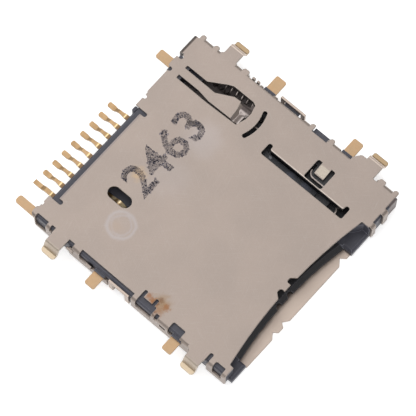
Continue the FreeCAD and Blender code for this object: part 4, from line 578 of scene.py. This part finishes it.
@dataclass
class Cover:
    """Folded cover with its stains, gold-plated feet and stamped digits. Lengths are millimetres."""

    digits: str = "2463"
    digit_centres: tuple[float, ...] = (-1.85, -0.33, 1.40, 3.00)
    digit_middle_y: float = 4.40
    digit_height: float = 2.30
    ink_spread: float = 0.015
    weld_gap: float = 0.001
    straight_within: float = 0.01
    film_height: float = 0.001
    speck_height: float = 0.002
    speck_radii: tuple[float, float, float] = (0.035, 0.12, 0.06)
    speck_sides: int = 7
    speck_taper: float = 0.8
    speck_slimmest: float = 0.5
    speck_lowest: float = 0.2
    speck_stray: float = 0.035
    specks_per_area: float = 62.0
    rim_width: float = 0.11
    specks_inside: float = 0.40
    steel: Colour = (0.322, 0.266, 0.233)
    cool_steel: Colour = (0.314, 0.262, 0.231)
    gold: Colour = (0.365, 0.262, 0.155)
    pale_gold: Colour = (0.52, 0.42, 0.30)
    knee: Colour = (0.47, 0.40, 0.33)
    haze: Colour = (0.40, 0.365, 0.365)
    rust: Colour = (0.23, 0.098, 0.036)
    dark_rust: Colour = (0.12, 0.05, 0.02)

    def patches(self) -> tuple[Patch, ...]:
        """Plated feet of the cover, with the painted highlights, painted shade and painted reflection
        tone laid over its bends and edges.

        Returns:
            The patches, lowest first.
        """
        rear, front = (0.0, 9.0), (-9.0, 0.0)
        return (
            # painted shade along the bend at the comb of tails and on the rear skirt's bend, and a
            # painted reflection tone over the front hooks
            Patch((0.20, 0.17, 0.18), 0.45, x=(-6.15, 1.55), y=(7.15, 7.50), softness=0.10),
            # painted shade on the rounded bend of the rear skirt
            Patch((0.055, 0.045, 0.040), 0.85, x=(6.05, 8.02), y=(8.03, 8.60), softness=0.06),
            # brown-violet painted over the front hooks in place of the steel's reflection
            Patch((0.10, 0.055, 0.05), 0.70, x=(6.90, 8.30), y=(-9.50, -8.55), softness=0.15),
            # painted highlight on the bend of the right tabs, and their gold foot
            Patch((0.60, 0.50, 0.43), 1.0, x=(8.90, 9.30), softness=0.04),
            Patch(self.gold, 1.0, x=(9.20, 10.0), softness=0.06),
            # bend and pale foot of the left tabs
            Patch(self.knee, 1.0, x=(-10.0, -8.62), y=rear, softness=0.12),
            Patch(self.knee, 1.0, x=(-10.0, -8.50), y=front, softness=0.12),
            Patch(self.pale_gold, 1.0, x=(-10.0, -8.92), y=rear, softness=0.10),
            Patch(self.pale_gold, 1.0, x=(-10.0, -8.80), y=front, softness=0.10),
            # painted shade on the guide flange's face, a painted highlight along its edge, and a lighter
            # patch on the tongue
            Patch((0.018, 0.021, 0.028), 0.97, x=(5.05, 5.40), y=(-7.5, -0.3), z=(0.5, 1.72),
                  softness=0.04),
            Patch((0.62, 0.54, 0.48), 0.65, x=(5.13, 5.24), y=(-6.70, -0.55), z=(1.70, 2.0),
                  softness=0.04),
            Patch((0.50, 0.45, 0.37), 0.55, x=(5.85, 6.62), y=(-4.48, -3.62), softness=0.14),
        )

    def marks(self, top: float) -> tuple[Mark, ...]:
        """Haze, stains and rust on the cover.

        Args:
            top: Height of its upper face in millimetres.

        Returns:
            The marks, lowest first.
        """
        return (
            # haze of old handling
            Mark((2.9, 3.1, top), 1.1, self.haze, 0.30, 0.7, 0.9, 0.8),
            Mark((-0.5, 3.1, top), 1.3, self.haze, 0.15, 0.8, 0.9, 0.8),
            # dried ring and its middle, and the stain on the first digit
            Mark((-4.88, 3.17, top), 0.90, (0.39, 0.375, 0.395), 0.34, 0.22, 0.32, 0.9, rim=True),
            Mark((-4.88, 3.17, top), 0.66, (0.36, 0.34, 0.355), 0.30, 0.14, 0.30, 0.5, rim=True),
            Mark((-5.15, 3.35, top), 0.36, (0.33, 0.26, 0.21), 0.45, 0.20, 0.4, 0.3),
            Mark((-1.60, 4.62, top), 0.42, (0.45, 0.31, 0.17), 0.55, 0.30, 0.6, 0.3),
            # rust round the left catch window
            Mark((-7.10, -2.15, top), 0.50, (0.25, 0.165, 0.095), 0.85, 0.35, 0.8, 0.35),
            Mark((-7.32, -1.72, top), 0.26, self.rust, 0.90, 0.16, 0.5, 0.15),
            Mark((-7.20, -1.25, top), 0.20, self.rust, 0.75, 0.14, 0.4, 0.12),
            Mark((-7.62, -2.35, top), 0.32, self.rust, 0.42, 0.20, 0.5, 0.12),
            Mark((-7.25, -1.95, top), 0.12, self.dark_rust, 0.80, 0.08, 0.3, 0.10),
            Mark((-6.92, -2.02, top), 0.16, self.dark_rust, 0.55, 0.12, 0.4, 0.10),
            Mark((-7.05, -2.55, top), 0.22, self.rust, 0.80, 0.14, 0.5, 0.12),
            Mark((-7.75, -2.10, top - 0.1), 0.16, self.dark_rust, 0.80, 0.10, 0.3, 0.10),
        )

    def finish(self) -> Finish:
        """Satin steel of the cover with everything that has marked it.

        Returns:
            The finish.
        """
        return Finish(
            "satin_cover_steel", self.steel, self.cool_steel, 0.75, (0.38, 0.42), edge_radius=0.06,
            edge_colour=(0.72, 0.66, 0.60), edge_strength=0.8, scratch_angles=(28.0, -40.0, 75.0),
            grain_height=0.0012, scratch_colour=(0.42, 0.38, 0.35), scratch_strength=0.15,
            layers=self.patches() + self.marks(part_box("top_shell")[1].z / MM),
        )

    def ink(self) -> Finish:
        """Thin grey ink of the digits, patchy enough for the steel to show through.

        Returns:
            The finish.
        """
        return Finish(
            "thin_ink_film", (0.24, 0.23, 0.32), (0.29, 0.27, 0.34), 0.0, (0.5, 0.7),
            edge_strength=0.0, see_through=(0.0, 0.45),
        )

    def glyph(self, digit: str) -> bpy.types.Mesh:
        """Makes a digit's flat outline as a mesh.

        Args:
            digit: The character.

        Returns:
            The mesh, facing up, in text units.
        """
        curve = bpy.data.curves.new("digit", "FONT")
        curve.body = digit
        curve.offset = self.ink_spread
        source = bpy.data.objects.new("digit_source", curve)
        bpy.context.scene.collection.objects.link(source)
        bpy.context.view_layer.update()
        shown = source.evaluated_get(bpy.context.evaluated_depsgraph_get())
        mesh = bpy.data.meshes.new_from_object(shown)
        bpy.data.objects.remove(source)
        return mesh

    def build_digit(self, digit: str, middle_x: float, seed: int) -> bpy.types.Object:
        """Stamps one digit on the top: a thin film that flat specks of the same ink thicken.

        Args:
            digit: The character.
            middle_x: Middle of the digit across the socket.
            seed: Start of the specks' random places.

        Returns:
            The digit's object.
        """
        mesh = self.glyph(digit)
        low = Vector([min(vertex.co[axis] for vertex in mesh.vertices) for axis in range(3)])
        high = Vector([max(vertex.co[axis] for vertex in mesh.vertices) for axis in range(3)])
        scale = self.digit_height / (high.y - low.y)
        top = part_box("top_shell")[1].z / MM
        place = Matrix.Translation((middle_x, self.digit_middle_y, top + self.film_height))
        mesh.transform(place @ Matrix.Scale(scale, 4) @ Matrix.Translation(-(low + high) / 2))
        mesh.calc_loop_triangles()
        triangles = [
            [mesh.vertices[index].co.copy() for index in row.vertices] for row in mesh.loop_triangles
        ]
        bm = bmesh.new()
        bm.from_mesh(mesh)
        bpy.data.meshes.remove(mesh)
        bmesh.ops.remove_doubles(bm, verts=bm.verts, dist=self.weld_gap)
        rim = [edge for edge in bm.edges if edge.is_boundary]
        outline = [[vertex.co.copy() for vertex in edge.verts] for edge in rim]
        bmesh.ops.dissolve_limit(bm, angle_limit=self.straight_within, verts=bm.verts, edges=bm.edges)
        bmesh.ops.solidify(bm, geom=bm.faces, thickness=self.film_height)
        bmesh.ops.recalc_face_normals(bm, faces=bm.faces)
        self.spatter(bm, triangles, outline, Random(seed))
        return link_piece(bm, f"stamped_digit_{digit}")

    def near_rim(self, place: Vector, outline: list[list[Vector]]) -> bool:
        """Tells whether a place is near the outline of its digit.

        Args:
            place: The place.
            outline: Ends of every edge of the outline.

        Returns:
            True within the rim's width.
        """
        for start, end in outline:
            nearest, share = intersect_point_line(place, start, end)
            nearest = start.lerp(end, min(max(share, 0.0), 1.0))
            if (nearest - place).length < self.rim_width:
                return True
        return False

    def spatter(self, bm: bmesh.types.BMesh, triangles: list[list[Vector]],
                outline: list[list[Vector]], chance: Random) -> None:
        """Strews flat specks over the film, closer together along its rim.

        Args:
            bm: Mesh that gets the specks, in millimetres.
            triangles: The film's area, as corners of triangles.
            outline: Ends of every edge of the film's outline.
            chance: Seeded random source.
        """
        areas = [(b - a).cross(c - a).length / 2 for a, b, c in triangles]
        for _ in range(round(sum(areas) * self.specks_per_area)):
            a, b, c = chance.choices(triangles, areas)[0]
            along, across = sorted((chance.random(), chance.random()))
            place = a * along + b * (across - along) + c * (1.0 - across)
            if chance.random() > self.specks_inside and not self.near_rim(place, outline):
                continue
            stray_x, stray_y = (chance.gauss(0.0, self.speck_stray) for _ in range(2))
            place += Vector((stray_x, stray_y, 0.0))
            radius = chance.triangular(*self.speck_radii)
            shape = Matrix.Diagonal((1.0, chance.uniform(self.speck_slimmest, 1.0), 1.0, 1.0))
            turn = Matrix.Rotation(chance.uniform(0.0, math.pi), 4, "Z")
            rise = chance.uniform(self.speck_lowest, 1.0) * self.speck_height
            lift = Matrix.Translation((0.0, 0.0, rise))
            bmesh.ops.create_cone(
                bm, cap_ends=True, segments=self.speck_sides, radius1=radius,
                radius2=self.speck_taper * radius, depth=self.speck_height,
                matrix=Matrix.Translation(place) @ lift @ turn @ shape,
            )

    def dress(self, pieces: Pieces, effects: Effects) -> None:
        """Dresses the cover and stamps the digits on it.

        Args:
            pieces: CAD nodes.
            effects: Shared node groups.
        """
        steel = self.finish().material(effects)
        for name in pieces.in_slot(Slot.SHELL):
            pieces.dress(name, steel)
        ink = self.ink().material(effects)
        for seed, (digit, middle_x) in enumerate(zip(self.digits, self.digit_centres)):
            made = self.build_digit(digit, middle_x, seed)
            made.data.materials.append(ink)
            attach(made, "socket")
            LOG.info("stamped digit %s", digit)


@dataclass
class LeafLip:
    """Curled lip at the tip of the cover's leaf spring. Lengths are millimetres."""

    x_span: Span = (5.08, 6.84)
    columns: int = 44
    rows: int = 14
    thickness: float = 0.05
    slit_end_x: float = 5.72
    slit_run: float = 0.12
    crest_x: float = 6.05
    flank_run: float = 0.25
    coil_x: float = 6.48
    coil_notch: Span = (-0.04, 0.06)
    toe_y: float = 1.99
    toe_corner: float = 0.14
    slit_y: float = 2.12
    leaf_edge: tuple[Span, ...] = ((5.09, 2.80), (5.82, 2.86), (6.42, 3.03), (6.90, 3.17))
    coil_y: float = 2.30
    toe_share: float = 0.05
    valley_share: float = 0.68
    valley_z: float = 1.590
    toe_z: float = 1.815
    leaf_z: float = 1.790
    flank_z: float = 1.700
    outer_z: float = 1.660
    smooth_above: float = 0.5

    @staticmethod
    def ease(value: float, start: float, end: float) -> float:
        """Rises smoothly from 0 at start to 1 at end.

        Args:
            value: Where the rise is read.
            start: Value that gives 0.
            end: Value that gives 1.

        Returns:
            The risen share.
        """
        share = min(max((value - start) / (end - start), 0.0), 1.0)
        return share * share * (3.0 - 2.0 * share)

    def place(self, across: float, along: float) -> Place:
        """Finds a point of the lip's middle surface.

        Args:
            across: Share of the way across, 0 to 1.
            along: Share of the way from the toe to the leaf, 0 to 1.

        Returns:
            The point in millimetres.
        """
        x = self.x_span[0] + across * (self.x_span[1] - self.x_span[0])
        over_slit = 1.0 - self.ease(x, self.slit_end_x, self.slit_end_x + self.slit_run)
        corner = self.toe_corner * self.ease(x, self.coil_x, self.x_span[1])
        front = self.toe_y + over_slit * (self.slit_y - self.toe_y) + corner
        start, end = next(pair for pair in zip(self.leaf_edge, self.leaf_edge[1:]) if x <= pair[1][0])
        back = start[1] + (end[1] - start[1]) * (x - start[0]) / (end[0] - start[0])
        notch_start, notch_end = (self.coil_x + side for side in self.coil_notch)
        back -= (back - self.coil_y) * self.ease(x, notch_start, notch_end)
        toe = (self.toe_z - self.valley_z) * (1.0 - self.ease(along, self.toe_share, self.valley_share))
        heel = (self.leaf_z - self.valley_z) * self.ease(along, self.valley_share, 1.0)
        outward = self.ease(x, self.crest_x + self.flank_run, self.coil_x)
        flank = self.flank_z + (self.outer_z - self.flank_z) * outward
        share = self.ease(x, self.slit_end_x, self.crest_x)
        z = (self.valley_z + toe + heel) * (1.0 - share) + flank * share
        return x, front + along * (back - front), z

    def build(self) -> bpy.types.Object:
        """Shapes the lip from a grid and gives it its thickness.

        Returns:
            The lip's object.
        """
        bm = bmesh.new()
        bmesh.ops.create_grid(bm, x_segments=self.columns, y_segments=self.rows, size=0.5)
        for vertex in bm.verts:
            # the grid runs from -0.5 to 0.5 both ways
            vertex.co = self.place(vertex.co.x + 0.5, vertex.co.y + 0.5)
        bmesh.ops.recalc_face_normals(bm, faces=bm.faces)
        bmesh.ops.solidify(bm, geom=bm.faces, thickness=self.thickness)
        bmesh.ops.recalc_face_normals(bm, faces=bm.faces)
        for face in bm.faces:
            face.smooth = abs(face.normal.z) > self.smooth_above
        return link_piece(bm, "leaf_lip")

    def dress(self, pieces: Pieces, effects: Effects) -> None:
        """Puts the lip in and dresses it.

        Args:
            pieces: CAD nodes; not used.
            effects: Shared node groups.
        """
        finish = Finish(
            "burnished_lip_steel", (0.385, 0.335, 0.315), (0.33, 0.285, 0.27), 0.8, (0.34, 0.42),
            mottle_size=0.5, grain_height=0.001, edge_colour=(0.4, 0.36, 0.33), edge_strength=0.2,
            # the outer half lies in the shade over the coil
            layers=(Patch((0.045, 0.034, 0.032), 0.90, x=(6.00, 7.00), softness=0.14),),
        )
        lip = self.build()
        lip.data.materials.append(finish.material(effects))
        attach(lip, "socket")
        LOG.info("curled the lip of the leaf spring")


@dataclass
class Plate:
    """Bottom plate with its snap ears, with painted shadow under the mouth's edge. Lengths are
    millimetres.
    """

    # outside a disc round the mouth's centre the plate carries painted shadow; the reach sets the soft
    # edge of that shadow
    mouth_centre: Place = (-1.66, -35.17, 0.15)
    mouth_radius: float = 27.50
    shadow_edge_reach: float = 0.20
    upper_face: float = 0.15
    steel: Colour = (0.445, 0.365, 0.312)
    # dark tones painted as shadow under the mouth's edge
    painted_shadow: Colour = (0.075, 0.058, 0.050)
    deep_painted_shadow: Colour = (0.055, 0.044, 0.040)

    def dress(self, pieces: Pieces, effects: Effects) -> None:
        """Dresses the plate.

        Args:
            pieces: CAD nodes.
            effects: Shared node groups.
        """
        finish = Finish(
            "satin_plate_steel", self.painted_shadow, self.deep_painted_shadow, 0.75, (0.36, 0.42), edge_radius=0.05,
            edge_colour=(0.55, 0.50, 0.45), edge_strength=0.5, grain_height=0.0012, layers=(
                # the plate's own steel in front of the mouth, on the underside and further in; the dark
                # base tone left under the mouth's edge is painted shadow
                Mark(self.mouth_centre, self.mouth_radius, self.steel, 1.0, self.shadow_edge_reach, 0.15, 0.4),
                Patch(self.steel, 1.0, z=(-1.0, self.upper_face - 0.02), softness=0.02),
                Patch(self.steel, 1.0, y=(-5.5, 9.0), softness=0.5),
            ),
        )
        material = finish.material(effects)
        for name in pieces.in_slot(Slot.PLATE):
            pieces.dress(name, material)


@dataclass
class Mouldings:
    """Blue-black housing and the darker slider. Lengths are millimetres."""

    housing: Colour = (0.046, 0.046, 0.062)
    housing_worn: Colour = (0.070, 0.070, 0.088)
    slider: Colour = (0.022, 0.022, 0.025)
    slider_worn: Colour = (0.040, 0.040, 0.043)
    glint: Colour = (0.050, 0.054, 0.080)

    def dress(self, pieces: Pieces, effects: Effects) -> None:
        """Dresses both mouldings.

        Args:
            pieces: CAD nodes.
            effects: Shared node groups.
        """
        body = Finish(
            "moulded_blue_black", self.housing, self.housing_worn, 0.0, (0.38, 0.55), specular=0.42,
            mottle_size=1.2, grain_size=0.05, grain_height=0.006, edge_radius=0.07,
            edge_colour=(0.30, 0.30, 0.35), edge_strength=0.7, layers=(
                # floor of the spring's bay lightened, partly dust and partly painted light in its shade;
                # painted reflection tone on the right corner; painted shade inside the mouth
                Patch((0.17, 0.14, 0.13), 0.80, x=(4.7, 7.6), y=(0.8, 7.0), z=(0.2, 0.9), softness=0.1),
                # brown-violet painted on the plastic in place of the steel face's reflection
                Patch((0.155, 0.115, 0.105), 0.80, x=(7.25, 8.3), y=(-9.0, -8.6), softness=0.08),
                Patch((0.010, 0.009, 0.009), 0.85, x=(-6.30, 3.62), y=(-8.2, -5.0), z=(0.0, 1.0),
                      softness=0.1),
            ),
        )
        inner = Finish(
            "moulded_slider_black", self.slider, self.slider_worn, 0.0, (0.25, 0.45), specular=0.3,
            mottle_size=0.9, grain_size=0.05, grain_height=0.005, edge_radius=0.04,
            edge_colour=(0.10, 0.10, 0.12), edge_strength=0.4, layers=(
                # painted shade on the slider in the long slot, with two painted blue glints and a pale
                # speck, a grain of dust with a painted glint
                Patch((0.006, 0.007, 0.012), 0.85, x=(4.5, 5.4), y=(-7.0, -0.3), z=(1.2, 1.4),
                      softness=0.05),
                Mark((4.82, -2.60, 1.3), 0.28, self.glint, 0.60, 0.20, 0.5, 0.3),
                Mark((4.80, -3.75, 1.3), 0.34, self.glint, 0.60, 0.22, 0.5, 0.3),
                Mark((4.94, -0.80, 1.3), 0.09, (0.22, 0.22, 0.24), 0.80, 0.06, 0.2, 0.1),
            ),
        )
        for slot, finish in ((Slot.HOUSING, body), (Slot.SLIDER, inner)):
            material = finish.material(effects)
            for name in pieces.in_slot(slot):
                pieces.dress(name, material)


@dataclass
class GoldPieces:
    """Gold contacts with their tails, and the flat solder tabs. Lengths are millimetres."""

    beam_span: Span = (-9.0, 7.60)
    root_span: Span = (7.65, 7.98)
    glint_span: Span = (7.95, 8.08)
    bright: Colour = (0.44, 0.285, 0.145)
    deep: Colour = (0.35, 0.215, 0.10)
    matte: Colour = (0.445, 0.290, 0.163)
    matte_pale: Colour = (0.485, 0.335, 0.200)
    # painted shade and painted glints on the contact inside the housing
    painted_beam_shade: Colour = (0.34, 0.21, 0.10)
    painted_beam_glint: Colour = (1.0, 0.80, 0.50)
    # painted shade on the tail next to the plastic
    painted_root_shade: Colour = (0.14, 0.08, 0.035)
    glint: Colour = (0.85, 0.68, 0.36)

    def dress(self, pieces: Pieces, effects: Effects) -> None:
        """Dresses the contacts and the tabs.

        Args:
            pieces: CAD nodes.
            effects: Shared node groups.
        """
        contact = Finish(
            "gold_flash_contact", self.bright, self.deep, 0.55, (0.26, 0.38), mottle_size=0.55,
            grain_height=0.0012, edge_colour=(0.75, 0.58, 0.30), edge_strength=0.5, layers=(
                # painted shade darkening the contact inside the housing, with painted glints where the
                # oval window shows it
                Patch(self.painted_beam_shade, 0.90, y=self.beam_span),
                Mark((-3.52, 5.04, 0.72), 0.18, self.painted_beam_glint, 0.95, 0.08, 0.1, 0.1),
                Mark((-3.56, 4.56, 0.93), 0.13, self.painted_beam_glint, 0.95, 0.07, 0.1, 0.1),
                Mark((-3.57, 4.22, 0.80), 0.20, self.painted_beam_glint, 0.95, 0.08, 0.1, 0.1),
                # painted shade on the tail next to the plastic and a painted glint on its first bend
                Patch(self.painted_root_shade, 0.85, y=self.root_span),
                Patch(self.glint, 0.80, y=self.glint_span, softness=0.04),
            ),
        )
        tab = Finish(
            "gold_flash_tab", self.matte, self.matte_pale, 0.7, (0.40, 0.52), mottle_size=0.5,
            grain_height=0.002, edge_colour=(0.70, 0.52, 0.30), edge_strength=0.35,
        )
        contact_material = contact.material(effects)
        tab_material = tab.material(effects)
        for name in pieces.in_slot(Slot.GOLD):
            sprung = name.startswith("contact") or name == "detect_spring"
            pieces.dress(name, contact_material if sprung else tab_material)


@dataclass
class SpringWork:
    """Coil spring, cam pin and card lock leaf. Lengths are millimetres."""

    turns: int = 15
    closed_turns: int = 1
    wire_radius: float = 0.058
    closed_pitch_in_radii: float = 2.1
    weld_share: float = 0.02
    steps_per_turn: int = 28
    section_sides: int = 10
    pressed_length: float = 1.78
    bay_back_y: float = 7.00

    def build_coil(self) -> bpy.types.Object:
        """Winds the coil spring where the CAD one lies.

        Returns:
            The spring's object.
        """
        low, high = (Vector(corner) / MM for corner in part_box("coil_spring"))
        middle = (low + high) / 2
        winding_radius = (high.x - low.x) / 2 - self.wire_radius
        free_length = high.y - low.y - 2 * self.wire_radius
        closed_pitch = self.closed_pitch_in_radii * self.wire_radius
        open_turns = self.turns - 2 * self.closed_turns
        open_pitch = (free_length - 2 * self.closed_turns * closed_pitch) / open_turns
        start = Vector((middle.x + winding_radius, low.y + self.wire_radius, middle.z))
        place = Matrix.Translation(start) @ Matrix.Rotation(math.radians(90.0), 4, "Z")
        bm = bmesh.new()
        bmesh.ops.create_circle(bm, segments=self.section_sides, radius=self.wire_radius, matrix=place)
        geometry = bm.verts[:] + bm.edges[:]
        closed_end = (self.closed_turns, closed_pitch)
        for turns, pitch in (closed_end, (open_turns, open_pitch), closed_end):
            wound = bmesh.ops.spin(
                bm, geom=geometry, cent=(middle.x, 0.0, middle.z), axis=(0.0, 1.0, 0.0),
                dvec=(0.0, pitch / self.steps_per_turn, 0.0), angle=2 * math.pi * turns,
                steps=self.steps_per_turn * turns, use_merge=False, use_duplicate=False,
            )
            geometry = wound["geom_last"]
        bmesh.ops.remove_doubles(bm, verts=bm.verts, dist=self.wire_radius * self.weld_share)
        bmesh.ops.holes_fill(bm, edges=[edge for edge in bm.edges if edge.is_boundary], sides=0)
        bmesh.ops.recalc_face_normals(bm, faces=bm.faces)
        for face in bm.faces:
            face.smooth = len(face.verts) == 4
        return link_piece(bm, "wound_spring")

    def dress(self, pieces: Pieces, effects: Effects) -> None:
        """Dresses the spring steel and puts in the wound spring.

        Args:
            pieces: CAD nodes.
            effects: Shared node groups.
        """
        wire = Finish(
            "drawn_spring_wire", (0.30, 0.26, 0.24), (0.20, 0.175, 0.165), 0.9, (0.28, 0.42),
            mottle_size=0.3, grain_height=0.001, edge_strength=0.1,
        )
        material = wire.material(effects)
        for name in pieces.in_slot(Slot.SPRING):
            pieces.dress(name, material)
        coil = self.build_coil()
        coil.data.materials.append(material)
        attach(coil, "socket")
        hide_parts("coil_spring")
        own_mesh(coil)
        LOG.info("wound %d turns of spring", self.turns)


@dataclass(frozen=True)
class PhotoCamera:
    """Pinhole camera that sees the socket as the photograph does. Lengths are millimetres."""

    target: Place = (0.068, 0.240, 0.0)
    distance: float = 160.03
    azimuth: float = -48.727
    elevation: float = 71.0
    lens: float = 216.346
    sensor: float = 36.0
    nearest: float = 10.0
    furthest: float = 5000.0

    def build(self) -> bpy.types.Object:
        """Makes the camera and hands it to the scene.

        Returns:
            The camera object.
        """
        turn = math.radians(self.azimuth)
        rise = math.radians(self.elevation)
        back = Vector((
            math.sin(turn) * math.cos(rise), -math.cos(turn) * math.cos(rise), math.sin(rise),
        ))
        data = bpy.data.cameras.new("photo_camera")
        data.lens = self.lens
        data.sensor_width = self.sensor
        data.dof.use_dof = False
        data.clip_start = self.nearest * MM
        data.clip_end = self.furthest * MM
        camera = bpy.data.objects.new("photo_camera", data)
        bpy.context.scene.collection.objects.link(camera)
        camera.location = (Vector(self.target) + back * self.distance) * MM
        camera.rotation_mode = "QUATERNION"
        camera.rotation_quaternion = (-back).to_track_quat("-Z", "Y")
        bpy.context.scene.camera = camera
        return camera


@dataclass(frozen=True)
class Softbox:
    """One square area light that looks at the socket. Lengths are millimetres."""

    name: str
    place: Place
    size: float
    glow: float

    def build(self) -> bpy.types.Object:
        """Hangs the light.

        Returns:
            The light's object.
        """
        data = bpy.data.lights.new(self.name, "AREA")
        data.size = self.size * MM
        data.energy = self.glow * math.pi * data.size ** 2
        lamp = bpy.data.objects.new(self.name, data)
        bpy.context.scene.collection.objects.link(lamp)
        lamp.location = Vector(self.place) * MM
        lamp.rotation_mode = "QUATERNION"
        lamp.rotation_quaternion = (-Vector(self.place)).to_track_quat("-Z", "Y")
        return lamp


@dataclass
class Studio:
    """Pale floor, soft lights and an even white surround. Lengths are millimetres."""

    floor_size: float = 900.0
    floor_drop: float = 0.02
    floor_colour: Colour = (0.93, 0.93, 0.93)
    floor_roughness: float = 0.9
    floor_glow: float = 0.45
    surround: float = 0.45
    softboxes: tuple[Softbox, ...] = (
        Softbox("back_overhead", (60.0, 190.0, 330.0), 420.0, 1.62),
        Softbox("left_fill", (-300.0, -60.0, 140.0), 160.0, 1.0),
        Softbox("front_fill", (-70.0, -62.0, 265.0), 120.0, 3.6),
    )

    def build(self) -> None:
        """Lays the floor, hangs the lights and sets the surround."""
        bm = bmesh.new()
        bmesh.ops.create_grid(bm, x_segments=1, y_segments=1, size=self.floor_size / 2)
        bmesh.ops.translate(bm, verts=bm.verts, vec=(0.0, 0.0, -self.floor_drop))
        floor = link_piece(bm, "pale_floor")
        paper = bpy.data.materials.new("pale_paper")
        paper.use_nodes = True
        surface = paper.node_tree.nodes["Principled BSDF"]
        surface.inputs["Base Color"].default_value = (*self.floor_colour, 1.0)
        surface.inputs["Roughness"].default_value = self.floor_roughness
        surface.inputs["Specular IOR Level"].default_value = 0.0
        surface.inputs["Emission Color"].default_value = (1.0, 1.0, 1.0, 1.0)
        surface.inputs["Emission Strength"].default_value = self.floor_glow
        floor.data.materials.append(paper)
        for softbox in self.softboxes:
            softbox.build()
        world = bpy.data.worlds.new("white_surround")
        world.use_nodes = True
        background = world.node_tree.nodes["Background"]
        background.inputs["Color"].default_value = (1.0, 1.0, 1.0, 1.0)
        background.inputs["Strength"].default_value = self.surround
        bpy.context.scene.world = world
        bpy.context.scene.view_settings.view_transform = "Standard"
        LOG.info("studio with %d softboxes", len(self.softboxes))


def main() -> None:
    """Builds the studio and dresses every piece in order."""
    logging.basicConfig(level=logging.INFO, format="%(name)s: %(message)s")
    PhotoCamera().build()
    Studio().build()
    effects = Effects()
    pieces = Pieces()
    for part in (Cover(), LeafLip(), Plate(), Mouldings(), GoldPieces(), SpringWork()):
        part.dress(pieces, effects)
        LOG.info("finished %s", type(part).__name__)


if __name__ == "__main__":
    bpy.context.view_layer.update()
    main()
